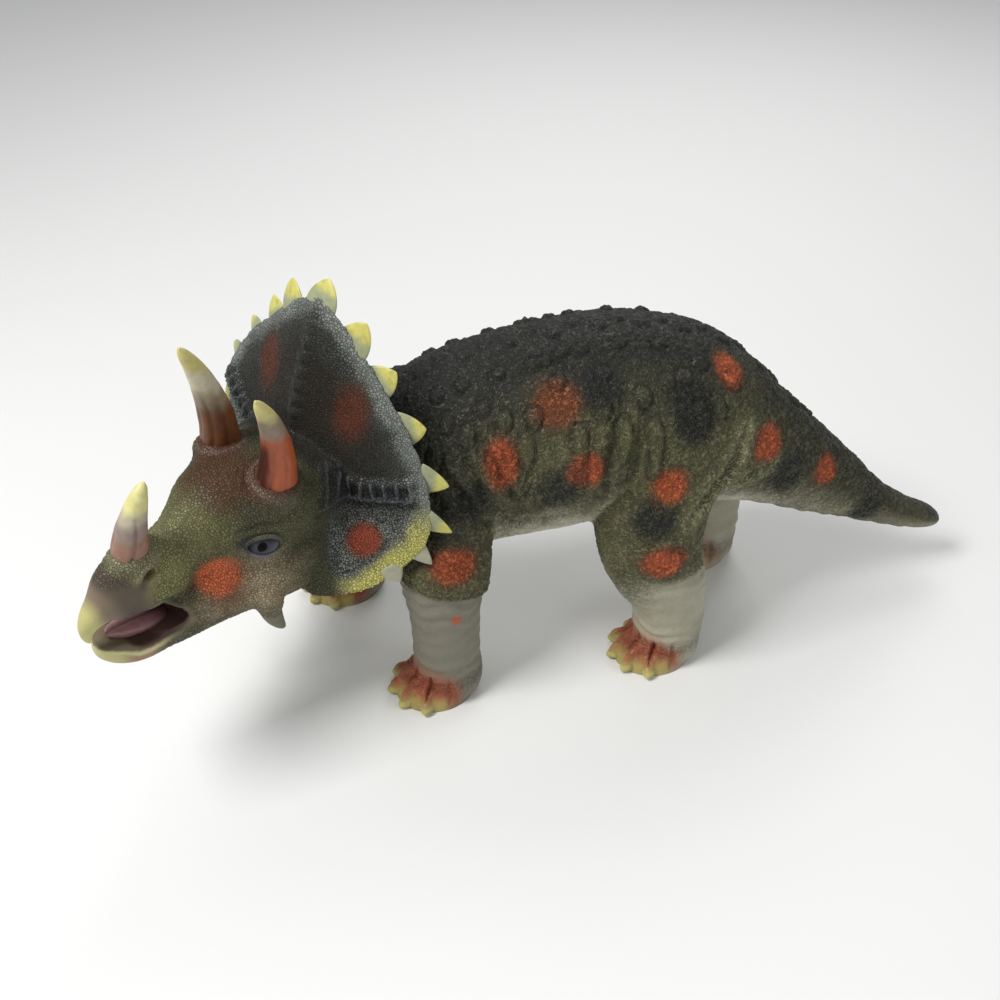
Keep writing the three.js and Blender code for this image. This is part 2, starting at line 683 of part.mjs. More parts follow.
const browPlaces = [-1, 1].map((sideSign) => onHead(browHornPlaceShares, sideSign));
const nosePlace = onHead(noseHornPlaceShares);
const eyePlaces = [-1, 1].map((sideSign) => onHead(eyePlaceShares, sideSign));
const headSkin = headLoft(skullRows).add(headLoft(jawRows));
const cheekHorns = [-1, 1].map((sideSign) => {
  const place = onHead(cheekHornPlaceShares, sideSign);
  const rows = hornRows(cheekHornRowShares, place, cheekHornLength, cheekHornGirth, sideSign, -1);
  return smallLoft(rows);
});
const headForm = cheekHorns.reduce((whole, horn) => whole.add(horn), headSkin.add(solidOf(frillGeometry())));
const headSeat = headLoft(skullRows, { inset: -seatGap });
const mouth = headLoft(mouthRows);
const mouthKeep = headLoft(mouthRows, { inset: -skinWall, shift: -skinWall });
const eyeball = (place, gap) => {
  const geometry = new THREE.SphereGeometry(1, eyeSides, eyeRings);
  geometry.scale(eyeLength / 2 + gap, eyeHeight / 2 + gap, eyeHeight / 2 + gap);
  geometry.rotateY(eyeTilt);
  geometry.rotateZ(Math.sign(place.y) * eyeTurn);
  geometry.translate(place.x, place.y, place.z);
  return solidOf(geometry);
};
const orbits = eyePlaces.map((place) => eyeball(place, seatGap));
const dishes = eyePlaces.map((place) => {
  const geometry = new THREE.SphereGeometry(dishRadius, eyeSides, eyeRings);
  geometry.translate(place.x, place.y + Math.sign(place.y) * dishReach, place.z);
  return solidOf(geometry);
});
const neckRear = beyond("x", neckPlace - jointGap / 2, 1);
const skullHollow = headLoft(skullRows, { inset: skinWall, to: skullHollowShare });
const headHollow = skullHollow.subtract(mouthKeep).subtract(beyond("x", headLip, 1));
const hornHoles = [...browPlaces, nosePlace].map((place) => spigot(place, seatGap));
const cuts = [mouth, neckRear, headHollow, stemClear, ...orbits, ...dishes, ...hornHoles];
const head = cuts.reduce((whole, cut) => whole.subtract(cut), headForm);

const linerFront = beyond("x", -mouthRoot - linerReach, -1);
const liner = mouth
  .subtract(headLoft(mouthRows, { inset: mouthWall }))
  .intersect(headLoft(mouthRows, { inset: seatGap }))
  .intersect(headLoft(skullRows, { inset: seatGap }).add(headLoft(jawRows, { inset: seatGap })))
  .subtract(linerFront);
const tongueRows = tongueRowShares.map(([along, height, side, up, down]) => {
  const place = onHead(tonguePlaceShares);
  return [
    place.x - along * tongueLength,
    0,
    place.z + height * tongueDepth,
    side * tongueWidth,
    up * tongueDepth,
    down * tongueDepth,
  ];
});
const tongue = smallLoft(tongueRows).intersect(headLoft(mouthRows, { inset: mouthWall + seatGap }));

function horn(rowShares, place, length, girth, sideSign) {
  const rows = hornRows(rowShares, place, length, girth, sideSign);
  return smallLoft(rows).subtract(headSeat).add(spigot(place, 0));
}

const headFillCuts = [
  headLoft(mouthRows, { inset: -skinWall - fillGap, shift: -skinWall - fillGap }),
  beyond("x", discStop - discThick - fillGap, 1),
  ...eyePlaces.map((place) => eyeball(place, fillGap)),
  ...[...browPlaces, nosePlace].map((place) => spigot(place, fillGap)),
];
const headFill = headFillCuts.reduce(
  (whole, cut) => whole.subtract(cut),
  headLoft(skullRows, { inset: skinWall + fillGap, to: skullHollowShare, shift: fillGap }),
);

// Assembly
const figure = new THREE.Group();
const headGroup = new THREE.Group();
headFrame.decompose(headGroup.position, headGroup.quaternion, headGroup.scale);
figure.add(headGroup);

figure.add(meshOf("torso_shell", torso, olive));
figure.add(meshOf("tail_shell", tail, olive));
for (const { name, shell, fill } of legs) {
  figure.add(meshOf(`${name}_leg`, shell, legVinyl));
  figure.add(meshOf(`${name}_leg_stuffing`, fill, fibre));
}
figure.add(meshOf("belly_plug", plug, legVinyl));
figure.add(meshOf("torso_stuffing", torsoFill, fibre));
figure.add(meshOf("tail_stuffing", tailFill, fibre));

headGroup.add(meshOf("head_shell", head, headVinyl));
const noseHorn = horn(noseHornRowShares, nosePlace, noseHornLength, noseHornGirth, 1);
headGroup.add(meshOf("nose_horn", noseHorn, hornVinyl));
["left", "right"].forEach((side, i) => {
  const sideSign = i === 0 ? -1 : 1;
  const brow = horn(browHornRowShares, browPlaces[i], browHornLength, browHornGirth, sideSign);
  headGroup.add(meshOf(`${side}_brow_horn`, brow, hornVinyl));
  headGroup.add(meshOf(`${side}_eye`, eyeball(eyePlaces[i], 0), eyeGloss));
});
headGroup.add(meshOf("mouth_liner", liner, mouthVinyl));
headGroup.add(meshOf("tongue", tongue, tongueVinyl));
headGroup.add(meshOf("head_stuffing", headFill, fibre));
headGroup.add(meshOf("neck_disc", disc, jointPlastic));
headGroup.add(meshOf("neck_washer", washer.subtract(stemClear), jointPlastic));
headGroup.add(meshOf("neck_lock_ring", ring.subtract(stemClear), jointPlastic));

// The origin is on the ground, under the middle of the whole figure
const box = new THREE.Box3().setFromObject(figure, true);
const middle = box.getCenter(new THREE.Vector3());
figure.position.set(-middle.x, -middle.y, -box.min.z);

export default figure;
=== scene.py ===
import math

import bmesh
import bpy
import numpy as np
from mathutils import Matrix, Vector


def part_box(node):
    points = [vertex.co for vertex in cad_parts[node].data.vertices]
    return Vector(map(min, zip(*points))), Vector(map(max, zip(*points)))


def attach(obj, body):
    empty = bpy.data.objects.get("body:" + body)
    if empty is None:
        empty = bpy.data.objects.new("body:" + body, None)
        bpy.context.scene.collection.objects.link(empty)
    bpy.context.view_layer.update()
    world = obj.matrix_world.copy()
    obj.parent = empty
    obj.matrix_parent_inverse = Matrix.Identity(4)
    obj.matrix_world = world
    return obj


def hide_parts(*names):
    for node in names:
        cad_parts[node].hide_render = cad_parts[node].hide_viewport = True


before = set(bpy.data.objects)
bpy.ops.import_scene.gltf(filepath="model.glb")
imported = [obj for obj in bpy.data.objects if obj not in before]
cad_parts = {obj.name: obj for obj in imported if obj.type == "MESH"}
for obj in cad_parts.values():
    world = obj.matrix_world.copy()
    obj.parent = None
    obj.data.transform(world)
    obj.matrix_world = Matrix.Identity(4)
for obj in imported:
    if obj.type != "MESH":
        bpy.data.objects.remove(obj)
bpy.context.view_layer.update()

MM = 0.001
# How wide the net of faces is in the two large skins, in millimetres
BODY_NET, HEAD_NET = 1.2, 1.02

# Sizes that the CAD has too, in millimetres
BODY_LENGTH, BODY_START, BACK_HEIGHT = 453, -141, 237
TORSO_WIDTH, TORSO_DEPTH = 120, 140
LEG_GIRTH, FRONT_LEG, REAR_LEG, KNEE_BEND = 50, 172, 182, 16
FOOT_LENGTH, FOOT_WIDTH, FOOT_HEIGHT, FOOT_REACH = 53, 48, 26, 9
PLUG_PLACE = BODY_START + 0.355 * BODY_LENGTH
HEAD_PLACE, HEAD_YAW, HEAD_PITCH, HEAD_ROLL = (-154, -26, 185), 39.7, -2, 10
SKULL_LENGTH, SKULL_WIDTH, SKULL_DEPTH, NECK_PLACE = 188, 80, 88, 48
JAW_ROOT, JAW_LENGTH, JAW_WIDTH, JAW_DEPTH = 34, 173, 92, 34
MOUTH_ROOT, MOUTH_LENGTH, MOUTH_WIDTH, MOUTH_DEPTH = 74, 72, 54, 36
FRILL_HEIGHT, FRILL_WIDTH, FRILL_PLACE, FRILL_CENTRE = 176, 178, 13, 20
FRILL_SWEEP, FRILL_THICK, FRILL_EDGE = 40, 9, 5
EYE_LENGTH, EYE_HEIGHT, EYE_TILT, EYE_TURN = 27, 19, 18, 20
# Horns: length and girth
BROW_HORN, NOSE_HORN, CHEEK_HORN = (72, 23), (42, 20), (36, 18)
# Toes of a foot: how many, the fan that they stand in, in degrees, and the size of a toe and of its claw
TOES, TOE_FAN, TOE, CLAW = 5, 140, (23, 9.2, 17), (13.2, 9.2, 9.6)

# Rows of the body: place along it, sidestep, height, and half sizes to the side, up and down
body_row_shares = [
    [0, -0.096, 0.726, 0.325, 0.279, 0.279], [0.038, 0.021, 0.722, 0.333, 0.286, 0.286],
    [0.075, 0.071, 0.705, 0.35, 0.321, 0.321], [0.11, 0.058, 0.686, 0.379, 0.379, 0.379],
    [0.145, 0.025, 0.673, 0.4, 0.424, 0.424], [0.204, 0, 0.673, 0.45, 0.466, 0.468],
    [0.272, 0, 0.693, 0.485, 0.48, 0.48], [0.349, 0, 0.712, 0.5, 0.485, 0.487],
    [0.437, 0, 0.72, 0.5, 0.482, 0.48], [0.519, 0, 0.695, 0.48, 0.446, 0.446],
    [0.582, 0, 0.642, 0.43, 0.378, 0.38], [0.631, 0, 0.588, 0.375, 0.312, 0.315],
    [0.684, 0, 0.523, 0.31, 0.26, 0.26], [0.738, 0, 0.451, 0.255, 0.22, 0.22],
    [0.796, 0, 0.376, 0.2, 0.172, 0.174], [0.835, 0, 0.323, 0.158, 0.134, 0.134],
    [0.877, 0, 0.272, 0.125, 0.106, 0.106], [0.918, 0, 0.229, 0.1, 0.088, 0.088],
    [0.965, 0, 0.192, 0.08, 0.07, 0.07], [0.989, 0, 0.17, 0.05, 0.042, 0.042],
    [1, 0, 0.158, 0.012, 0.01, 0.01],
]
# Rows of a leg from its top to its sole: height, lean to the ankle, bend, and half sizes side, rear and front
front_leg_row_shares = [
    [1.0, 0, 0, 0.1, 0.12, 0.12], [0.94, 0.2, 0, 0.27, 0.5, 0.2],
    [0.83, 0.5, 0, 0.37, 0.6, 0.2], [0.7, 0.75, 0, 0.46, 0.62, 0.34],
    [0.6, 0.96, 0, 0.5, 0.6, 0.54], [0.53, 1, 0, 0.49, 0.55, 0.52],
    [0.46, 1, 0, 0.46, 0.49, 0.47], [0.32, 1, 0, 0.44, 0.46, 0.44],
    [0.18, 1, 0, 0.43, 0.45, 0.43], [0.08, 1, 0, 0.45, 0.47, 0.44],
    [0.02, 1, 0, 0.4, 0.43, 0.4],
]
rear_leg_row_shares = [
    [1.0, 0, 0, 0.1, 0.14, 0.14], [0.94, 0.15, 0.05, 0.3, 0.5, 0.5],
    [0.82, 0.4, 0.25, 0.46, 0.74, 0.76], [0.68, 0.7, 0.8, 0.54, 0.72, 0.76],
    [0.55, 0.9, 1, 0.56, 0.68, 0.68], [0.44, 0.98, 0.7, 0.54, 0.62, 0.6],
    [0.34, 1, 0.2, 0.5, 0.56, 0.54], [0.23, 1, 0, 0.46, 0.5, 0.48],
    [0.12, 1, 0, 0.44, 0.47, 0.45], [0.05, 1, 0, 0.44, 0.47, 0.43],
    [0.02, 1, 0, 0.4, 0.43, 0.4],
]
# Legs: name, rows, height, where the top and the ankle stand along X, and from the middle plane
legs = [
    ("front_left", front_leg_row_shares, FRONT_LEG, -57, -65, -32, -48),
    ("front_right", front_leg_row_shares, FRONT_LEG, -76, -114, 14, 67),
    ("rear_left", rear_leg_row_shares, REAR_LEG, 84, 87, -32, -48),
    ("rear_right", rear_leg_row_shares, REAR_LEG, 100, 148, 32, 48),
]
# Rows of the skull from the neck to the tip of the beak: place, height, and half sizes side, up and down
skull_row_shares = [
    [-0.043, -0.136, 0.5, 0.455, 0.455], [0.032, -0.148, 0.506, 0.466, 0.466],
    [0.128, -0.159, 0.512, 0.42, 0.557], [0.234, -0.17, 0.512, 0.386, 0.58],
    [0.351, -0.176, 0.487, 0.415, 0.551], [0.447, -0.182, 0.456, 0.42, 0.489],
    [0.527, -0.193, 0.388, 0.386, 0.42], [0.59, -0.21, 0.312, 0.307, 0.335],
    [0.654, -0.227, 0.231, 0.244, 0.273], [0.739, -0.239, 0.2, 0.227, 0.216],
    [0.824, -0.25, 0.194, 0.273, 0.193], [0.899, -0.284, 0.163, 0.222, 0.176],
    [0.952, -0.341, 0.113, 0.142, 0.165], [0.984, -0.42, 0.069, 0.091, 0.097],
    [1, -0.489, 0.019, 0.034, 0.045],
]
jaw_row_shares = [
    [0, -1.118, 0.217, 0.412, 0.412], [0.069, -1.235, 0.413, 0.882, 0.765],
    [0.185, -1.294, 0.5, 1.118, 0.941], [0.301, -1.382, 0.5, 1.118, 0.971],
    [0.416, -1.471, 0.446, 0.941, 0.882], [0.526, -1.588, 0.37, 0.765, 0.706],
    [0.624, -1.676, 0.326, 0.676, 0.515], [0.694, -1.75, 0.283, 0.441, 0.441],
    [0.763, -1.824, 0.239, 0.309, 0.368], [0.832, -1.853, 0.207, 0.294, 0.382],
    [0.902, -1.809, 0.168, 0.265, 0.324], [0.954, -1.721, 0.12, 0.206, 0.25],
    [0.983, -1.647, 0.065, 0.118, 0.147], [1, -1.618, 0.022, 0.044, 0.044],
]
mouth_row_shares = [
    [0, -1.472, 0.148, 0.139, 0.139], [0.069, -1.417, 0.241, 0.222, 0.222],
    [0.167, -1.347, 0.333, 0.278, 0.278], [0.25, -1.278, 0.426, 0.347, 0.361],
    [0.347, -1.236, 0.481, 0.403, 0.444], [0.444, -1.208, 0.5, 0.444, 0.514],
    [0.542, -1.194, 0.5, 0.472, 0.542], [0.639, -1.208, 0.481, 0.458, 0.5],
    [0.736, -1.25, 0.444, 0.389, 0.361], [0.833, -1.333, 0.37, 0.264, 0.208],
    [0.889, -1.389, 0.296, 0.139, 0.125], [0.931, -1.417, 0.259, 0.067, 0.067],
    [1, -1.444, 0.259, 0.044, 0.044],
]
# Rows of a horn from root to tip: height, forward and outward places, and half sizes side, rear and front
brow_horn_row_shares = [
    [-0.08, -0.03, 0, 0.42, 0.46, 0.46], [0.05, 0, 0, 0.46, 0.5, 0.5],
    [0.25, 0.02, 0.02, 0.41, 0.45, 0.45], [0.5, 0.08, 0.05, 0.33, 0.36, 0.36],
    [0.75, 0.175, 0.07, 0.23, 0.25, 0.25], [0.93, 0.27, 0.08, 0.13, 0.14, 0.14],
    [1, 0.31, 0.08, 0.03, 0.03, 0.03],
]
nose_horn_row_shares = [
    [-0.15, 0.05, 0, 0.45, 0.5, 0.5], [0.05, 0.03, 0, 0.46, 0.52, 0.52],
    [0.3, 0, 0, 0.41, 0.46, 0.46], [0.55, -0.06, 0, 0.34, 0.37, 0.37],
    [0.8, -0.15, 0, 0.24, 0.26, 0.26], [0.95, -0.22, 0, 0.13, 0.14, 0.14],
    [1.0, -0.25, 0, 0.03, 0.03, 0.03],
]
cheek_horn_row_shares = [
    [-0.3, 0.1, 0, 0.3, 0.3, 0.3], [0.0, 0, 0, 0.46, 0.48, 0.46],
    [0.3, -0.03, 0, 0.38, 0.38, 0.38], [0.65, -0.17, 0, 0.27, 0.27, 0.27],
    [0.9, -0.32, 0, 0.15, 0.15, 0.15], [1.0, -0.4, 0, 0.03, 0.03, 0.03],
]
# Rim of one half of the frill from its top to its chin: shares of half its width, its height and its sweep
frill_rim_shares = [
    [0, 0.483, 0.375], [0.157, 0.443, 0.375], [0.337, 0.358, 0.45], [0.506, 0.261, 0.525], [0.674, 0.17, 0.575],
    [0.843, 0.045, 0.625], [0.944, -0.057, 0.625], [1, -0.17, 0.625], [1, -0.284, 0.6], [0.944, -0.364, 0.475],
    [0.876, -0.426, 0.175], [0.82, -0.466, -0.125], [0.73, -0.477, -0.45], [0.562, -0.477, -0.825],
    [0.225, -0.455, -0.575],
]
# Points of one half of the frill: share of the way along the rim, how far out and back the tip is, and half its width
frill_points = [
    (0, 7.2, 5.4, 10.6), (0.105, 10.5, 4.2, 10.8), (0.2, 8.2, 5.4, 11.0), (0.315, 6.2, 6.5, 11.6),
    (0.435, 7.6, 8.0, 11.6), (0.54, 8.5, 8.0, 9.8), (0.63, 7.2, 4.2, 8.2), (0.7, 3.6, 1.5, 8.5),
]

# Where the pieces stand on the head, in its own frame: nose to -X, left side to -Y
brow_place = np.array([-24.3, 23.2, 15.0])
nose_place = np.array([-105.7, 0.0, 0.0])
eye_place = np.array([-41.4, 27.5, -16.3])
cheek_horn_place = np.array([-41.4, 37.6, -58.1])

plug_low, plug_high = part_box("belly_plug")
figure_shift = np.array([
    (plug_low.x + plug_high.x) / 2 / MM - PLUG_PLACE,
    (plug_low.y + plug_high.y) / 2 / MM,
    0.0,
])


def spin(degrees, axis, size=4):
    return Matrix.Rotation(math.radians(degrees), size, axis)


def mirror(side_sign):
    """Turns a place on the right side into one on the side of that sign"""
    return np.array([1, side_sign, 1])


head_frame = (
    Matrix.Translation(Vector(figure_shift + np.array(HEAD_PLACE)))
    @ spin(HEAD_YAW, "Z") @ spin(-HEAD_PITCH, "Y") @ spin(HEAD_ROLL, "X")
)


def linear(hex_colour):
    """An sRGB hex value as a linear colour"""
    channels = [int(hex_colour[i:i + 2], 16) / 255 for i in (1, 3, 5)]
    return np.array([c / 12.92 if c <= 0.04045 else ((c + 0.055) / 1.055) ** 2.4 for c in channels])


# ---------------------------------------------------------------- forms

def row_at(rows, place):
    """The values of a table at a place from 0 to 1, on a smooth curve through its rows"""
    spot = min(max(place, 0), 1) * (len(rows) - 1)
    index = min(int(spot), len(rows) - 2)
    before, start, end, after = (rows[min(max(index + k, 0), len(rows) - 1)] for k in (-1, 0, 1, 2))
    t = spot - index
    slope_in, slope_out, step = (end - before) / 2, (after - start) / 2, start - end
    square, cube = 3 * step + 2 * slope_in + slope_out, 2 * step + slope_in + slope_out
    return start + t * slope_in - t * t * square + t ** 3 * cube


def loft(rows, sides, rings, side_axis):
    """A closed form along rows of x, y, z and half sizes to the side, up and down: a grid rolled up"""
    rows = np.array(rows, float)
    shape = bmesh.new()
    bmesh.ops.create_grid(shape, x_segments=rings, y_segments=sides, size=1)
    side_axis = np.array(side_axis, float)
    cache = {}
    for vert in shape.verts:
        place = round((vert.co.x + 1) / 2, 5)
        turn = (vert.co.y + 1) * math.pi
        if place not in cache:
            row = row_at(rows, place)
            tangent = row_at(rows, place + 0.01)[:3] - row_at(rows, place - 0.01)[:3]
            tangent /= np.linalg.norm(tangent)
            across = side_axis - tangent * (side_axis @ tangent)
            across /= np.linalg.norm(across)
            cache[place] = row, across, np.cross(tangent, across)
        row, across, upward = cache[place]
        side, up, down = np.maximum(row[3:], row[3:] * 0.05)
        lift = up if math.sin(turn) > 0 else down
        vert.co = row[:3] + across * side * math.cos(turn) + upward * lift * math.sin(turn)
    bmesh.ops.remove_doubles(shape, verts=shape.verts, dist=0.001)
    bmesh.ops.holes_fill(shape, edges=[e for e in shape.edges if e.is_boundary])
    bmesh.ops.recalc_face_normals(shape, faces=shape.faces)
    return shape


def lump(size, place, turn=None, sides=32, rings=24):
    """A ball drawn out to a size at a place"""
    shape = bmesh.new()
    bmesh.ops.create_uvsphere(shape, u_segments=sides, v_segments=rings, radius=0.5)
    bmesh.ops.scale(shape, vec=Vector(size), verts=shape.verts)
    if turn is not None:
        bmesh.ops.transform(shape, matrix=turn, verts=shape.verts)
    bmesh.ops.translate(shape, vec=Vector(place), verts=shape.verts)
    return shape


def joined(name, shapes):
    """Several forms in one mesh"""
    mesh = bpy.data.meshes.new(name)
    whole = bmesh.new()
    for shape in shapes:
        shape.to_mesh(mesh)
        whole.from_mesh(mesh)
        shape.free()
    whole.to_mesh(mesh)
    whole.free()
    return mesh


def fused(name, shapes, grid, carve=()):
    """Forms that run into each other as one skin, with a fine even net of faces, less what is carved out"""
    thing = bpy.data.objects.new(name, joined(name, shapes))
    bpy.context.collection.objects.link(thing)

    def even_net():
        remesh = thing.modifiers.new("skin", "REMESH")
        remesh.mode = "VOXEL"
        remesh.voxel_size = grid
        remesh.adaptivity = 0

    even_net()
    tool = None
    if carve:
        tool = bpy.data.objects.new(name + "_tool", joined(name + "_tool", carve))
        bpy.context.collection.objects.link(tool)
        cut = thing.modifiers.new("carve", "BOOLEAN")
        cut.operation = "DIFFERENCE"
        cut.solver = "EXACT"
        cut.object = tool
        even_net()
    found = bpy.context.evaluated_depsgraph_get()
    mesh = bpy.data.meshes.new_from_object(thing.evaluated_get(found), depsgraph=found)
    for gone in (thing, tool):
        if gone:
            data = gone.data
            bpy.data.objects.remove(gone)
            bpy.data.meshes.remove(data)
    mesh.name = name
    mesh.materials.clear()
    return mesh


def read_out(items, key, width, kind=np.float32):
    """The values of a mesh's points or edges, a row for each"""
    flat = np.empty(len(items) * width, kind)
    items.foreach_get(key, flat)
    return flat.reshape(-1, width)


def points_of(mesh):
    return read_out(mesh.vertices, "co", 3).astype(float)


def put_points(mesh, points):
    mesh.vertices.foreach_set("co", points.astype(np.float32).ravel())
    mesh.update()


def normals_of(mesh):
    return read_out(mesh.vertex_normals, "vector", 3).astype(float)


def edges_of(mesh):
    return read_out(mesh.edges, "vertices", 2, np.int32)


def relaxed(values, edges, times, share=0.5):
    """Values at the points evened out with their neighbours'"""
    values = np.array(values, float)
    flat = values.reshape(len(values), -1)
    first, second = edges.T
    count = np.bincount(edges.ravel(), minlength=len(flat))
    share = np.broadcast_to(share, len(flat))
    for _ in range(times):
        for axis in range(flat.shape[1]):
            column = flat[:, axis]
            total = np.bincount(first, column[second], len(flat)) + np.bincount(second, column[first], len(flat))
            flat[:, axis] = column + share * (total / count - column)
    return flat.reshape(values.shape)


def eased(low, high, values):
    """0 below one value, 1 above the other, smooth between them"""
    t = np.clip((values - low) / (high - low), 0, 1)
    return t * t * (3 - 2 * t)


def fading(low, high, values):
    """1 below one value, 0 above the other, smooth between them"""
    return 1 - eased(low, high, values)


def bell(gap, width):
    """1 where there is no gap, falling off smoothly over a width"""
    return np.exp(-(gap / width) ** 2)


def scatter(cells, salt=0):
    """Three fixed numbers from 0 to 1 for each cell of a lattice"""
    cells = cells.astype(np.int64)
    along_x, along_y, along_z = (cells[..., k] for k in range(3))
    seed = (along_x * 73856093) ^ (along_y * 19349663) ^ (along_z * 83492791) ^ (salt * 2654435761)
    found = []
    for step in (1, 2, 3):
        mixed = (seed + step * 668265263) & 0xFFFFFFFF
        mixed = ((mixed ^ (mixed >> 15)) * 2246822519) & 0xFFFFFFFF
        mixed = ((mixed ^ (mixed >> 13)) * 3266489917) & 0xFFFFFFFF
        found.append(((mixed ^ (mixed >> 16)) & 0xFFFFFF) / 0xFFFFFF)
    return np.stack(found, -1)


def cell_corners(t):
    """The corners of a lattice cell, each with how much it counts at places in the cell"""
    for corner in np.ndindex(2, 2, 2):
        yield corner, np.prod(np.where(np.array(corner) == 1, t, 1 - t), axis=1)


def cloud(points, size, salt=0):
    """Smooth uneven values from -1 to 1, with patches of a size"""
    spot = points / size
    cell = np.floor(spot)
    total = np.zeros(len(points))
    for corner, weight in cell_corners(eased(0, 1, spot - cell)):
        total += weight * scatter(cell + corner, salt)[:, 0]
    return total * 2 - 1


def humps(points, size, salt=0):
    """Gradient noise: rounded humps and hollows of a size, from about -0.5 to 0.5"""
    spot = points / size
    cell = np.floor(spot)
    away = spot - cell
    total = np.zeros(len(points))
    for corner, weight in cell_corners(away ** 3 * (away * (away * 6 - 15) + 10)):
        slope = scatter(cell + corner, salt) * 2 - 1
        total += weight * ((away - corner) * slope).sum(axis=1)
    return total


def pebbles(points, size, salt=0):
    """How far each place is from the cracks in a net of pebbles: 0 in a crack, up to about 1 on a pebble"""
    spot = points / size
    cell = np.floor(spot)
    near = np.full(len(points), 9.0)
    next_near = near.copy()
    for corner in np.ndindex(3, 3, 3):
        place = cell + np.array(corner) - 1
        gap = np.linalg.norm(place + scatter(place, salt) - spot, axis=1)
        next_near = np.minimum(np.maximum(near, gap), next_near)
        near = np.minimum(near, gap)
    return next_near - near


def line_gap(points, path):
    """Distance of each point to a broken line, and how far along the line it is, from 0 to 1"""
    path = np.array(path, float)
    lengths = np.linalg.norm(np.diff(path, axis=0), axis=1)
    start = np.concatenate([[0], np.cumsum(lengths)])
    best = np.full(len(points), 1e9)
    along = np.zeros(len(points))
    for i, length in enumerate(lengths):
        a, b = path[i], path[i + 1]
        t = np.clip(((points - a) @ (b - a)) / length ** 2, 0, 1)
        gap = np.linalg.norm(points - a - t[:, None] * (b - a), axis=1)
        closer = gap < best
        best = np.where(closer, gap, best)
        along = np.where(closer, (start[i] + t * length) / start[-1], along)
    return best, along


def spot_mask(points, place, radius, soft=0.35, stretch=(1, 1, 1)):
    """A sprayed spot with a soft edge"""
    gap = np.linalg.norm((points - np.array(place)) / np.array(stretch), axis=1)
    return fading(radius * (1 - soft), radius * (1 + soft), gap)


class Paint:
    """Colours laid over each other at the points of a piece, as sprayed and brushed on"""

    def __init__(self, count, hex_colour):
        self.colour = np.tile(linear(hex_colour), (count, 1))

    def lay(self, hex_colour, mask):
        mask = np.clip(mask, 0, 1)[:, None]
        self.colour = self.colour * (1 - mask) + linear(hex_colour) * mask

    def keep(self, mesh, name):
        opaque = np.column_stack([self.colour, np.ones(len(self.colour))])
        layer = mesh.attributes.new(name, "FLOAT_COLOR", "POINT")
        layer.data.foreach_set("color", opaque.astype(np.float32).ravel())


def keep_value(mesh, name, values):
    mesh.attributes.new(name, "FLOAT", "POINT").data.foreach_set("value", np.asarray(values, np.float32))


def shown(name, mesh, body, material, replaces=()):
    """A mesh that stands in the frame, as a shown piece that rides on its body"""
    thing = bpy.data.objects.new(name, mesh)
    bpy.context.collection.objects.link(thing)
    mesh.materials.append(material)
    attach(thing, body)
    if replaces:
        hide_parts(*replaces)
    return thing


def piece(name, mesh, body, material, replaces=()):
    """A mesh worked out in millimetres as a smooth shown piece: it is put in its place in the frame, in metres"""
    mesh.transform(head_frame if body == "head" else Matrix.Translation(Vector(figure_shift)))
    mesh.transform(Matrix.Scale(MM, 4))
    mesh.polygons.foreach_set("use_smooth", np.ones(len(mesh.polygons), bool))
    mesh.update()
    return shown(name, mesh, body, material, replaces)


# ---------------------------------------------------------------- materials

def add(tree, kind, settings=None, links=None):
    """A node with its settings, its sockets' values and what they are linked to"""
    node = tree.nodes.new(kind)
    for key, value in (settings or {}).items():
        setattr(node, key, value)
    for key, value in (links or {}).items():
        if isinstance(value, bpy.types.NodeSocket):
            tree.links.new(value, node.inputs[key])
        else:
            node.inputs[key].default_value = value
    return node


def new_material(name):
    """An empty material, its nodes, and the place on the piece"""
    material = bpy.data.materials.new(name)
    material.use_nodes = True
    tree = material.node_tree
    tree.nodes.clear()
    return material, tree, add(tree, "ShaderNodeTexCoord").outputs["Object"]


def finish_material(tree, look):
    shader = add(tree, "ShaderNodeBsdfPrincipled", links=look)
    add(tree, "ShaderNodeOutputMaterial", links={"Surface": shader.outputs[0]})


def rgba(hex_colour):
    return (*linear(hex_colour), 1)


def attribute(tree, name, output="Fac"):
    return add(tree, "ShaderNodeAttribute", {"attribute_name": name}).outputs[output]


def maths(tree, operation, *values):
    return add(tree, "ShaderNodeMath", {"operation": operation}, dict(enumerate(values))).outputs[0]


def ranged(tree, value, low, high, to_low=0.0, to_high=1.0, kind="LINEAR"):
    links = {"Value": value, "From Min": low, "From Max": high, "To Min": to_low, "To Max": to_high}
    return add(tree, "ShaderNodeMapRange", {"interpolation_type": kind}, links).outputs[0]


def blended(tree, share, under, over, blend="MIX"):
    settings = {"data_type": "RGBA", "blend_type": blend}
    return add(tree, "ShaderNodeMix", settings, {"Factor": share, "A": under, "B": over}).outputs["Result"]


def patches(tree, place, size_mm, **more):
    """Soft uneven values, with patches of a size in millimetres"""
    return add(tree, "ShaderNodeTexNoise", links={"Vector": place, "Scale": 1000 / size_mm, **more}).outputs["Fac"]


def bumps(tree, height, depth_mm):
    links = {"Height": height, "Distance": depth_mm * MM, "Strength": 1.0}
    return add(tree, "ShaderNodeBump", links=links).outputs[0]


WASH, SCUFFED, VINYL_IOR = rgba("#5E594E"), rgba("#9A8F7C"), 1.52


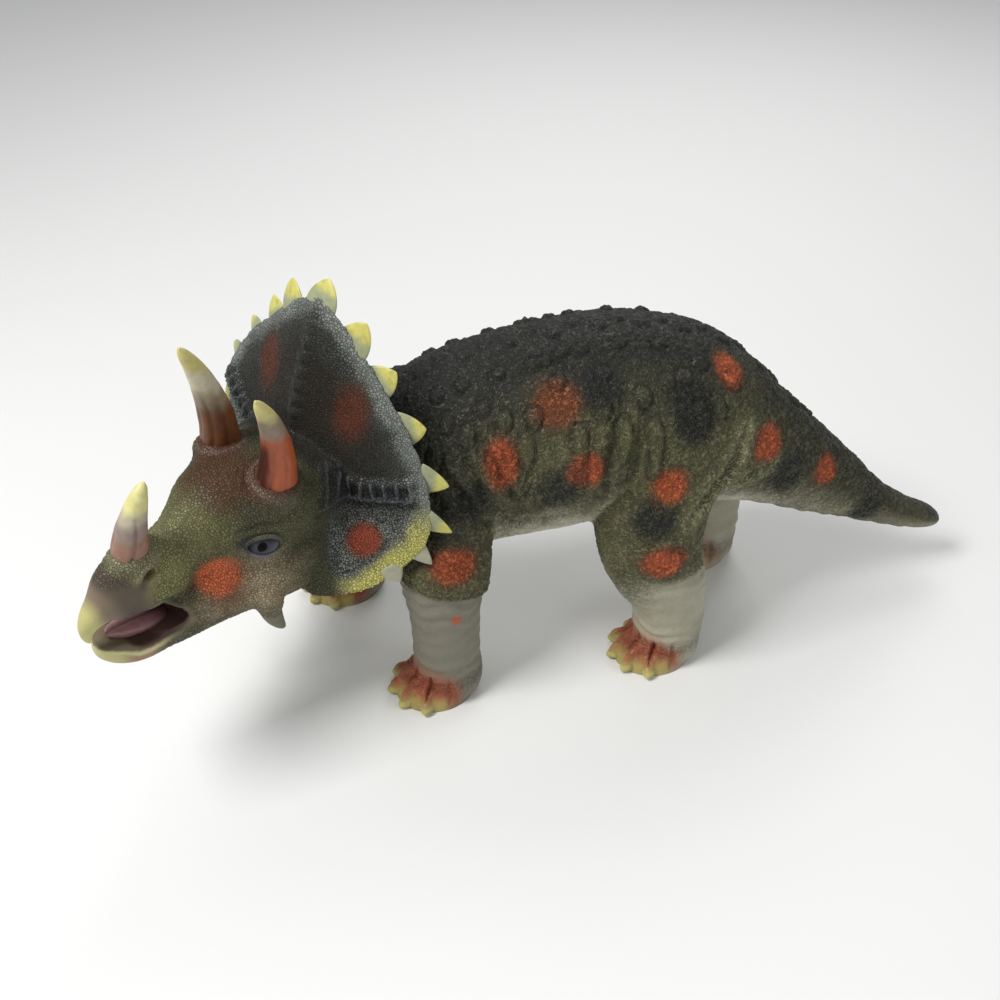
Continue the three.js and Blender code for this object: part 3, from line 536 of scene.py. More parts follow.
def painted_vinyl(name, grain_mm, worms, wash_depth, bump_mm, roughness):
    """Soft PVC cast in a grained mould, sprayed, then wiped with a dark wash that stays in the grain.
    The body's grain is short twisted ropes and the head's is round granules. Their tops are matt and a
    little lighter than the wash between them, and where the brush passed they carry pale specks."""
    material, tree, place = new_material(name)
    grain, brushed = attribute(tree, "grain"), attribute(tree, "brushed")
    if worms:
        # A rope runs wherever the noise passes its middle value
        noise = patches(tree, place, grain_mm * 1.35, Detail=0.8, Roughness=0.45, Distortion=0.8)
        away = maths(tree, "ABSOLUTE", maths(tree, "SUBTRACT", noise, 0.5))
        rise = maths(tree, "SUBTRACT", 0.13, away)
        low, high = 0.0, 0.11
    else:
        links = {"Vector": place, "Scale": 1000 / grain_mm}
        rise = add(tree, "ShaderNodeTexVoronoi", {"feature": "DISTANCE_TO_EDGE"}, links).outputs["Distance"]
        low, high = 0.02, 0.22
    top = ranged(tree, rise, low, high, kind="SMOOTHSTEP")
    # The wash lies between the tops, deeper in some places than in others
    patchy = patches(tree, place, 9.0, Detail=3.0)
    hollow = maths(tree, "MULTIPLY", maths(tree, "SUBTRACT", 1.0, top), grain)
    depth = ranged(tree, patchy, 0.3, 0.65, wash_depth * 0.6, wash_depth)
    wash_share = maths(tree, "MULTIPLY", hollow, depth)
    washed = blended(tree, wash_share, attribute(tree, "paint", "Color"), WASH, "MULTIPLY")
    # Dry brushing catches the tops only, in uneven passes
    tips = ranged(tree, rise, high * 0.2, high * 0.85, kind="SMOOTHSTEP")
    uneven = ranged(tree, patchy, 0.35, 0.6, 0.5, 1.0)
    specks = maths(tree, "MULTIPLY", maths(tree, "MULTIPLY", tips, brushed), uneven)
    fine = patches(tree, place, 0.8, Detail=2.0)
    height = maths(tree, "MULTIPLY", maths(tree, "MULTIPLY_ADD", fine, 0.2, top), grain)
    finish_material(tree, {
        "Base Color": blended(tree, specks, washed, attribute(tree, "brush_paint", "Color")),
        "Roughness": ranged(tree, hollow, 0.0, 1.0, roughness, roughness + 0.22),
        "Normal": bumps(tree, height, bump_mm), "IOR": VINYL_IOR, "Specular IOR Level": 0.35})
    return material


def smooth_vinyl(name, roughness, gloss=0.5):
    """Soft PVC from a polished part of the mould, sprayed in soft bands. It has a low satin gloss, and a
    faint mottle where the spray is thin."""
    material, tree, place = new_material(name)
    mottle = ranged(tree, patches(tree, place, 3.5, Detail=4.0), 0.4, 0.7, 0.0, 0.22)
    finish_material(tree, {
        "Base Color": blended(tree, mottle, attribute(tree, "paint", "Color"), SCUFFED, "MULTIPLY"),
        "Roughness": roughness, "Normal": bumps(tree, patches(tree, place, 1.1, Detail=2.0), 0.12),
        "IOR": VINYL_IOR, "Specular IOR Level": gloss})
    return material


def moulded_plastic(name):
    """Polypropylene as moulded, for the neck joint: pale, faintly cloudy, a low gloss"""
    material, tree, place = new_material(name)
    haze = patches(tree, place, 12.0, Detail=3.0)
    finish_material(tree, {
        "Base Color": blended(tree, haze, rgba("#D6D4CC"), rgba("#C9C6BC")), "Roughness": 0.4, "IOR": 1.49})
    return material


def matt_floor(name):
    """A pale painted table top, matt and all but even, which only gathers the soft shadow"""
    material, tree, place = new_material(name)
    drift = patches(tree, place, 1250, Detail=1.0)
    finish_material(tree, {"Base Color": blended(tree, drift, rgba("#DEDEDC"), rgba("#E4E4E2")), "Roughness": 0.7})
    return material


skin_finish = painted_vinyl("grained_soft_vinyl_body", 1.9, True, wash_depth=0.6, bump_mm=0.8, roughness=0.48)
head_finish = painted_vinyl("grained_soft_vinyl_head", 1.6, False, wash_depth=0.7, bump_mm=0.5, roughness=0.5)
horn_finish = smooth_vinyl("smooth_soft_vinyl_horn", 0.42, 0.35)
claw_finish = smooth_vinyl("smooth_soft_vinyl_claw", 0.45)
mouth_finish = smooth_vinyl("smooth_soft_vinyl_mouth", 0.38)
# The enamel of the eyes mirrors little of the room, which keeps the pupil dark
eye_finish = smooth_vinyl("gloss_enamelled_eye", 0.34, 0.05)


# ---------------------------------------------------------------- body

def leg_rows(row_shares, height, top, ankle, hip_y, ankle_y):
    rows = []
    for rise, lean, bend, side, rear, front in row_shares:
        x = top + (ankle - top) * lean - bend * KNEE_BEND
        y = hip_y + (ankle_y - hip_y) * lean
        rows.append([x, y, rise * height, side * LEG_GIRTH, rear * LEG_GIRTH, front * LEG_GIRTH])
    return rows


def toe_places(ankle, ankle_y):
    """Middle of each toe, the way that it points, and how far it is turned"""
    found = []
    for i in range(TOES):
        turn = math.radians(TOE_FAN) * (i / (TOES - 1) - 0.5)
        out = np.array([-math.cos(turn), math.sin(turn), 0])
        centre = np.array([ankle - FOOT_REACH, ankle_y, 0])
        found.append((centre + out * np.array([FOOT_LENGTH / 2 - 5, FOOT_WIDTH / 2 - 5, 0]), out, turn))
    return found


def body_skin():
    scale = [BODY_LENGTH, TORSO_WIDTH, BACK_HEIGHT, TORSO_WIDTH, TORSO_DEPTH, TORSO_DEPTH]
    rows = np.array(body_row_shares) * scale + [BODY_START, 0, 0, 0, 0, 0]
    shapes = [loft(rows, 64, 150, (0, 1, 0))]
    for _, shares, height, top, ankle, hip_y, ankle_y in legs:
        shapes.append(loft(leg_rows(shares, height, top, ankle, hip_y, ankle_y), 40, 80, (0, 1, 0)))
        shapes.append(lump((FOOT_LENGTH, FOOT_WIDTH, FOOT_HEIGHT * 2), (ankle - FOOT_REACH, ankle_y, 0)))
        for place, out, turn in toe_places(ankle, ankle_y):
            aimed = Matrix.Rotation(-turn, 4, "Z") @ spin(-18, "Y")
            shapes.append(lump(TOE, place + out * -2.0 + np.array([0, 0, 7.5]), aimed))
    mesh = fused("body_skin", shapes, BODY_NET)
    points, edges = points_of(mesh), edges_of(mesh)
    softness = 0.02 + 0.45 * eased(22, 44, points[:, 2])
    points = relaxed(points, edges, 34, softness)
    points[:, 2] = np.maximum(points[:, 2], 0)
    put_points(mesh, points)
    normal = normals_of(mesh)
    x, y, z = points.T
    mirrored = np.column_stack([x, -np.abs(y), z])

    # Creases of the skin, on both sides: a path, its depth, its width and the crest beside it
    groin = [(126, -47, 178), (123, -50, 170), (114, -52, 150), (100, -59, 138), (89, -66, 129)]
    rear_fold = [(147, -45, 147), (134, -47, 143), (121, -48, 138)]
    creases = [
        ([(-29, -45, 204), (-26, -52, 186), (-15, -57, 166), (-4, -56, 148)], 1.6, 2.2, 0.9),
        ([(-39, -47, 197), (-29, -55, 179), (-17, -57, 153), (-11, -52, 136)], 3.0, 2.6, 1.4),
        ([(-53, -47, 192), (-41, -55, 170), (-25, -52, 139)], 3.2, 2.8, 1.5),
        ([(-68, -43, 188), (-55, -52, 167), (-41, -53, 142)], 2.8, 3.0, 1.3),
        ([(-80, -40, 184), (-69, -50, 164), (-56, -54, 144)], 1.8, 2.6, 0.9),
        ([(51, -41, 218), (44, -53, 202), (38, -59, 182), (35, -59, 156), (28, -53, 138)], 2.6, 3.4, 1.8),
        ([(62, -46, 208), (55, -57, 188), (52, -61, 168), (49, -60, 150)], 1.4, 2.8, 0.8),
        (groin, 3.6, 3.4, 2.2),
        (rear_fold, 2.2, 2.8, 1.2),
        ([(-41, -54, 139), (-16, -51, 135), (9, -52, 135), (30, -47, 129)], 2.2, 3.2, 0.9),
        ([(140, -38, 160), (124, -46, 151), (110, -50, 143)], 1.8, 2.4, 1.0),
        ([(100, -59, 112), (84, -69, 108), (70, -74, 112)], 1.4, 2.4, 0.8),
    ]
    relief = np.zeros(len(points))
    crease_shade = np.zeros(len(points))
    fold_near = np.zeros(len(points))
    for path, depth, width, crest in creases:
        gap, along = line_gap(mirrored + 1.6 * humps(points, 9, 5)[:, None], path)
        fade = np.sin(np.pi * np.clip(along * 0.9 + 0.05, 0, 1)) ** 0.6
        dip = bell(gap, width) * fade
        lift = bell(gap - 2.1 * width, width * 1.1) * fade
        relief += -depth * dip + crest * lift
        crease_shade = np.maximum(crease_shade, dip)
        fold_near = np.maximum(fold_near, bell(gap, 4 * width) * fade)
    # Wrinkles across the tail and round the legs
    wrinkle = np.sin(x / 2.6 + 2.4 * cloud(points, 12, 4) + z / 21)
    relief += eased(120, 175, x) * 0.4 * wrinkle * fading(270, 295, x)
    pale_leg = np.zeros(len(points))
    for _, _, height, _, ankle, _, ankle_y in legs:
        near = fading(26, 40, np.hypot(x - ankle, y - ankle_y))
        # The thicker skin of the upper leg ends in a ledge over the shin
        rear = height == REAR_LEG
        tilt = 0.28 * (x - ankle) + 0.05 * (y - ankle_y) * np.sign(-ankle_y)
        ledge = z - (88 - 0.1 * (x - ankle) if rear else 99 - tilt) + 2.5 * humps(points, 14, 6)
        step = 1.5 if rear else 2.3
        relief += near * step * np.where(ledge > 0, 1.1 * np.exp(-ledge / 12), -0.8 * np.exp(ledge / 7))
        below = near * fading(-6, 2, ledge) * eased(14, 30, z)
        pale_leg = np.maximum(pale_leg, below)
        bands = bell(z - 86, 12) + 0.7 * bell(z - 30, 10) + 0.25
        relief += below * bands * 0.7 * np.sin(z / 1.9 + 3.2 * cloud(points, 13, 6))
        # Grooves between the toes, up over the foot
        for place, out, turn in toe_places(ankle, ankle_y):
            half = math.radians(TOE_FAN / (TOES - 1) / 2)
            for way in (-half, half):
                ray = np.array([-math.cos(turn + way), math.sin(turn + way)])
                away = points[:, :2] - np.array([ankle - 1, ankle_y])
                forward = away @ ray
                off = np.abs(away @ np.array([ray[1], -ray[0]]))
                relief -= 2.2 * bell(off, 1.4) * eased(9, 19, forward) * fading(18, 30, z) * near
    # The hide: short twisted ropes with deep cracks between them, scales along the back, knobs over the flanks
    grain = (1 - 0.85 * pale_leg) * (1 - 0.5 * eased(230, 300, x)) * eased(4, 26, z)
    twist = 1.6 * np.column_stack([humps(points, 6, k) for k in (1, 2, 3)])
    rope = fading(0.03, 0.2, np.abs(humps(points + twist, 3.9, 7)))
    long_rope = fading(0.03, 0.2, np.abs(humps((points + twist) * np.array([1, 1, 0.3]), 3.9, 7)))
    flank_lines = fold_near + 0.6 * bell(x - 38, 26) * eased(140, 160, z) * fading(206, 222, z)
    flank_lines += 0.7 * bell(x + 30, 34) * fading(190, 206, z) * eased(118, 132, z)
    flank_lines = np.clip(flank_lines, 0, 1)
    rope = rope * (1 - flank_lines) + long_rope * flank_lines
    scales = eased(0, 0.4, pebbles(points + twist * 0.5, 3.9, 8))
    scaly = eased(0.55, 0.95, normal[:, 2]) * eased(180, 205, z + 0.5 * np.clip(x - 60, 0, 200))
    hide = rope * (1 - scaly) + scales * scaly
    relief += grain * (0.85 + 0.4 * flank_lines) * (hide - 0.5)
    relief += 1.4 * humps(points, 20, 9) * eased(60, 120, z)
    knobs = [(-92 + i * 13.5, 3.5 if i % 2 else -3.5, 4.4) for i in range(22)]
    flank = [
        (16, -21), (5, -24), (28, -21), (52, -20), (76, -21), (-1, -24), (-22, -24), (-34, -38), (-44, -24),
        (-56, -38), (-59, -24), (-66, -45), (-23, -45), (-45, -45), (38, -36), (76, -41), (35, -49), (11, -36),
        (88, -38), (100, -30), (60, -47), (96, -50), (120, -34), (-12, -54), (66, -57), (-78, -34), (20, -56),
        (108, -46), (-6, -47), (46, -56),
    ]
    lumps = [(a, b, 3.7) for a, b in flank] + [(a + 3, -b + 2, 3.7) for a, b in flank]
    upper = z > 160 - np.clip(x - 100, 0, 200) * 0.55
    knob_ring = np.zeros(len(points))
    for place_x, place_y, size in knobs + lumps:
        gap = np.hypot((x - place_x) * 0.78, y - place_y)
        here = upper & (gap < size * 2.2)
        dome = np.sqrt(np.clip(1 - (gap / size) ** 2, 0, 1))
        ring = bell(gap - size * 1.12, size * 0.28)
        relief[here] += (size * (0.36 if size > 4 else 0.58) * dome - 0.7 * ring)[here]
        knob_ring[here] = np.maximum(knob_ring, ring)[here]
    sole = eased(0.2, 7, z)
    points = points + normal * (relief * sole)[:, None]
    points[:, 2] = np.maximum(points[:, 2], 0)
    put_points(mesh, points)

    # Paint: olive over pale vinyl, charcoal on the back, sprayed spots, red on the feet
    paint = Paint(len(points), "#636140")
    wobble = cloud(points, 13, 21) + 0.5 * cloud(points, 5, 22)
    height = z + 5 * wobble
    back = eased(0.15, 0.95, normal[:, 2] + 0.1 * wobble) * eased(120, 200, z + 0.35 * (x - 40) * (x > 40))
    paint.lay("#0F0F0D", 0.96 * back)
    paint.lay("#1C1C19", 0.9 * fading(-72, -5, x + 6 * wobble) * eased(112, 140, z))
    paint.lay("#66663C", 0.7 * bell(x - 49 + 0.2 * (z - 180), 7) * eased(135, 160, z) * (1 - back))
    under = eased(0.15, 0.8, -normal[:, 2] + 0.12 * wobble) * eased(60, 90, z)
    paint.lay("#DAD6C0", 0.97 * under)
    tail_low = eased(140, 185, x) * eased(-0.3, 0.35, -normal[:, 2])
    paint.lay("#918D74", 0.9 * tail_low)
    paint.lay("#2A2A18", 0.75 * eased(130, 180, x) * (1 - tail_low))
    paint.lay("#2F302E", 0.85 * eased(285, 303, x) * eased(-0.2, 0.5, normal[:, 2]))
    for name, _, tall, _, ankle, _, ankle_y in legs:
        near = fading(34, 44, np.hypot(x - ankle, y - ankle_y))
        if tall == FRONT_LEG:
            low = fading(94, 101, height - 4 * wobble + 0.28 * (x - ankle))
        else:
            low = fading(76, 100, height)
        paint.lay("#7B776A" if tall == FRONT_LEG else "#A6A28E", near * low)
        paint.lay("#6E6D58", (0.4 if tall == FRONT_LEG else 0.25) * near * low * eased(-0.4, 0.9, wobble))
        # The right rear foot is only lightly sprayed
        red = 0.45 if name == "rear_right" else 1.0
        streaks = 0.5 + 0.5 * np.sin(np.arctan2(y - ankle_y, ankle - x) * 19 + 3 * wobble)
        top_of_foot = near * bell(z - 15, 12) * eased(-4, 14, ankle - x + 4 + 5 * wobble + 0.4 * (20 - z))
        paint.lay("#A04C2E", red * np.clip(1.35 * top_of_foot, 0, 0.96))
        paint.lay("#7A3626", 0.5 * red * top_of_foot * streaks)
        claw_roots = 0.8 * near * fading(6, 15, z + 2 * wobble)
        claw_roots = claw_roots * eased(10, 22, np.hypot(ankle - x, y - ankle_y)) * eased(0, 8, ankle - x)
        paint.lay("#B0A45E", claw_roots)
    crest_near = np.zeros(len(points))
    for path, strength in ((groin, 0.85), (rear_fold, 0.6)):
        gap, _ = line_gap(mirrored, path)
        crest_near = np.maximum(crest_near, strength * bell(gap - 3.5, 5))
    paint.lay("#8A8860", crest_near)
    dark_spots = [
        ((34, -42, 218), 14), ((7, -59, 161), 15), ((66, -67, 134), 15), ((91, -51, 204), 16), ((92, -55, 192), 14),
        ((164, -40, 133), 16), ((240, -18, 75), 13), ((-47, -54, 159), 14),
    ]
    even = (1, 1, 1)
    orange_spots = [
        ((8, -44, 212), 13.5, even), ((-27, -54, 183), 12.5, (0.8, 1, 1.35)), ((23, -59, 174), 11.5, even),
        ((76, -60, 154), 11.5, even), ((72, -74, 104), 12, (1.25, 1, 0.9)), ((-60, -67, 120), 13.5, (1.1, 1, 0.85)),
        ((119, -28, 211), 11, (0.85, 1, 1.4)), ((145, -43, 163), 12.5, even), ((197, -28, 123), 10.5, even),
    ]
    spray = 1.6 * cloud(points, 2.6, 31)
    for place, radius in dark_spots:
        paint.lay("#090A0D", 0.97 * spot_mask(mirrored, place, radius + spray, 0.45))
    for place, radius, stretch in orange_spots:
        paint.lay("#5C3A1C", 0.6 * spot_mask(mirrored, place, radius * 1.25 + spray, 0.4, stretch))
        # Brown over the black of the back, lighter towards the tail
        on_back = -40 < place[0] < 40 and place[2] > 200
        colour = "#75401B" if on_back else "#A5491E" if place[0] < 60 else "#B9562B"
        paint.lay(colour, 0.95 * spot_mask(mirrored, place, radius * 0.9 + spray, 0.4, stretch))
    paint.lay("#B2532E", 0.9 * spot_mask(points, (-60, -71, 79), 3.6, 0.3))
    # Dark wash in the cracks of the grain, with painted shade in the creases and in the grooves round the knobs
    cracks = 0.42 * grain * (1 - hide) * (1 - under) + 0.8 * crease_shade + 0.7 * knob_ring
    paint.lay("#15140F", 0.6 * np.clip(cracks, 0, 1))
    brush = Paint(len(points), "#6E6E4A")
    brush.lay("#3E3E38", 0.9 * back)
    brush.lay("#B4B09A", under)
    brush.lay("#A5A382", crest_near)
    for place, radius, stretch in orange_spots:
        brush.lay("#C4622E", spot_mask(mirrored, place, radius, 0.3, stretch))
    paint.keep(mesh, "paint")
    brush.keep(mesh, "brush_paint")
    keep_value(mesh, "grain", np.clip(grain * 1.05 - 0.45 * under, 0.14, 1))
    keep_value(mesh, "brushed", np.clip(0.2 + 0.3 * under + 0.3 * crest_near, 0, 1))
    leg_nodes = [f"{name}_leg{part}" for part in ("", "_stuffing") for name, *_ in legs]
    skin = piece("body_skin", mesh, "body", skin_finish, (
        "torso_shell", "tail_shell", "torso_stuffing", "tail_stuffing", "belly_plug", *leg_nodes))


def claws():
    for name, _, _, _, ankle, _, ankle_y in legs:
        shapes = []
        for place, out, turn in toe_places(ankle, ankle_y):
            centre = place + out * 4.3
            aimed = Matrix.Rotation(-turn, 4, "Z") @ spin(-14, "Y")
            claw = lump(CLAW, (0, 0, 0), None, 24, 18)
            for vert in claw.verts:
                # A claw is blunt in front and flat below
                taper = 1 - 0.35 * min(max(-vert.co.x / 6.3, 0), 1) ** 2
                vert.co.y *= taper
                vert.co.z *= taper if vert.co.z > 0 else 0.8
            bmesh.ops.transform(claw, matrix=Matrix.Translation((*centre[:2], 4.8)) @ aimed, verts=claw.verts)
            for vert in claw.verts:
                vert.co.z = max(vert.co.z, 0.15)
            shapes.append(claw)
        mesh = joined(f"{name}_claws", shapes)
        points = points_of(mesh)
        paint = Paint(len(points), "#B4AC62")
        paint.lay("#8B7F55", 0.6 * eased(0, 0.8, cloud(points, 3, 41)))
        paint.lay("#8A5A40", 0.6 * eased(5.5, 8.5, points[:, 2]))
        paint.keep(mesh, "paint")
        piece(f"{name}_claws", mesh, "body", claw_finish)


# ---------------------------------------------------------------- head

def head_rows(row_shares, start, length, width, depth):
    return [[start - a * length, 0, h * depth, s * width, u * depth, d * depth] for a, h, s, u, d in row_shares]


def horn_rows(row_shares, place, length, girth, side_sign, direction=1):
    return [[place[0] - forward * length, place[1] + side_sign * out * length, place[2] + direction * rise * length,
             side * girth, rear * girth, front * girth] for rise, forward, out, side, rear, front in row_shares]


def rim_table():
    """The frill's rim from its top to its chin, in fine even steps: back, side and up, in millimetres"""
    half = np.array([[back * FRILL_SWEEP, side * FRILL_WIDTH / 2, up * FRILL_HEIGHT]
                     for side, up, back in frill_rim_shares])
    fine = np.array([row_at(half, t) for t in np.linspace(0, 1, 400)])
    steps = np.concatenate([[0], np.cumsum(np.linalg.norm(np.diff(fine, axis=0), axis=1))])
    return steps / steps[-1], fine


rim_steps, rim_line = rim_table()


def rim_at(share):
    """The frill's rim at a share of the way from its top to its chin"""
    return np.array([np.interp(share, rim_steps, rim_line[:, k]) for k in range(3)]).T


def eye_axes(flip):
    """Rearward, outward and upward from an eye"""
    frame_of_eye = spin(EYE_TURN * flip, "Z", 3) @ spin(EYE_TILT, "Y", 3)
    return [np.array(frame_of_eye @ Vector(way)) for way in ((1, 0, 0), (0, flip, 0), (0, 0, 1))]


def seen_from_eye(points, flip):
    """Places as rearward, upward and outward from the middle of an eye"""
    rear, out, upward = eye_axes(flip)
    away = points - eye_place * mirror(flip)
    return away @ rear, away @ upward, away @ out


def eyeball_reach(back, rise):
    """How far out the eyeball's surface is at a place on it"""
    return EYE_HEIGHT / 2 * np.sqrt(np.maximum(1 - (2 * back / EYE_LENGTH) ** 2 - (2 * rise / EYE_HEIGHT) ** 2, 0.02))


LID_MIDDLE, LID_HALF, LID_TILT = (-0.4, 1.6), (9.8, 5.3), 4


def lid_line(turn):
    """The almond of the lids, as places rearward and upward"""
    flat = LID_HALF[0] * math.cos(turn), LID_HALF[1] * math.copysign(abs(math.sin(turn)) ** 1.15, math.sin(turn))
    tilt = math.radians(LID_TILT)
    return (LID_MIDDLE[0] + flat[0] * math.cos(tilt) - flat[1] * math.sin(tilt),
            LID_MIDDLE[1] + flat[0] * math.sin(tilt) + flat[1] * math.cos(tilt))


def lid_share(back, rise):
    """How far out a place is from the middle of the lids, 1 on their line, and how far out the ball is there"""
    tilt = math.radians(LID_TILT)
    away_back, away_rise = back - LID_MIDDLE[0], rise - LID_MIDDLE[1]
    flat_back = away_back * math.cos(tilt) + away_rise * math.sin(tilt)
    flat_rise = away_rise * math.cos(tilt) - away_back * math.sin(tilt)
    share = np.maximum(np.hypot(flat_back / LID_HALF[0], flat_rise / LID_HALF[1]), 0.01)
    return share, eyeball_reach(LID_MIDDLE[0] + away_back / share, LID_MIDDLE[1] + away_rise / share)


def frill_plate():
    """A ball pressed into the dished plate: its equator is the rim, its poles the front and the back"""
    columns, bands = 240, 60
    shape = bmesh.new()
    bmesh.ops.create_uvsphere(shape, u_segments=columns, v_segments=bands, radius=1)
    for vert in shape.verts:
        turn = math.atan2(vert.co.y, vert.co.x)
        share = min(abs(turn) / math.pi, 1)
        rim = rim_at(share) * mirror(math.copysign(1, turn))
        band = 1 - abs(math.asin(max(min(vert.co.z, 1), -1))) / (math.pi / 2)
        front = -1 if vert.co.z > 0 else 1
        thick = FRILL_THICK + (FRILL_EDGE - FRILL_THICK) * band
        swell = math.sqrt(max(1 - band ** 10, 0))
        vert.co = (
            FRILL_PLACE + rim[0] * band ** 1.3 + front * thick / 2 * swell,
            rim[1] * band,
            rim[2] * band + FRILL_CENTRE,
        )
    bmesh.ops.remove_doubles(shape, verts=shape.verts, dist=0.01)
    bmesh.ops.recalc_face_normals(shape, faces=shape.faces)
    return shape


def frill_frame(share, side_sign):
    """Place on the rim, the way out from the plate there, and the way along the rim"""
    rim = rim_at(share) * mirror(side_sign)
    ahead = rim_at(min(share + 0.01, 1)) * mirror(side_sign)
    behind = rim_at(max(share - 0.01, 0)) * mirror(side_sign if share > 0.01 else -side_sign)
    out = np.array([0, rim[1], rim[2]])
    out /= np.linalg.norm(out)
    along = ahead - behind
    along -= out * (along @ out)
    along /= np.linalg.norm(along)
    place = np.array([FRILL_PLACE + rim[0], rim[1], rim[2] + FRILL_CENTRE])
    return place, out, along


def frill_scallops():
    """The points round the frill: thin rounded triangles with fine lines fanned over them"""
    shapes, rises, shares = [], [], []
    for share, reach_out, reach_back, half_width in frill_points:
        for side_sign in ((1,) if share == 0 else (-1, 1)):
            place, out, along = frill_frame(share, side_sign)
            tip = out * reach_out + np.array([reach_back, 0, 0])
            # Its foot lies inside the rim, straight in from the edge
            foot = out * -7.5 + np.array([-0.4, 0, 0])
            lean = (tip - foot) / np.linalg.norm(tip - foot)
            across = np.cross(lean, along)
            point = 1.9 - 0.7 * eased(0.2, 0.5, share)
            shape = bmesh.new()
            bmesh.ops.create_uvsphere(shape, u_segments=88, v_segments=30, radius=1)
            for vert in shape.verts:
                a, b, c = vert.co
                ring = max(math.hypot(a, b), 1e-6)
                a, b = a / ring, b / ring
                rise = max(c, 0)
                end = math.sqrt(1 - min(c * c, 1))
                wide = half_width * ((1 - rise ** point) ** 0.75 if c > 0 else end)
                thick = 2.2 * (0.8 * (1 - rise) ** 0.5 + 0.2 * end) if c > 0 else 2.2 * end
                lines = 0.22 * math.sin(a * 30) * abs(b) ** 0.5 * min(1, 3 * (1 - rise)) if c > 0 else 0
                up = foot + ((tip - foot) * c if c > 0 else out * 2 * c)
                rises.append(float(up @ out))
                shares.append(share)
                vert.co = place + up + along * (a * wide) + across * (b * thick + math.copysign(lines, b))
            shapes.append(shape)
    mesh = joined("frill_points", shapes)
    points, rises, shares = points_of(mesh), np.array(rises), np.array(shares)
    paint = Paint(len(points), "#C2BC66")
    paint.lay("#8F8642", 0.45 * eased(0.0, 0.8, cloud(points, 2.0, 51)))
    # The mist of the rim runs up on to each point, and the lowest are hardly painted
    paint.lay("#8A9078", 0.85 * fading(-1.5, 2.8, rises + 0.8 * cloud(points, 3, 52)))
    paint.lay("#9C9C88", 0.95 * (shares > 0.6))
    paint.keep(mesh, "paint")
    piece("frill_points", mesh, "head", horn_finish)


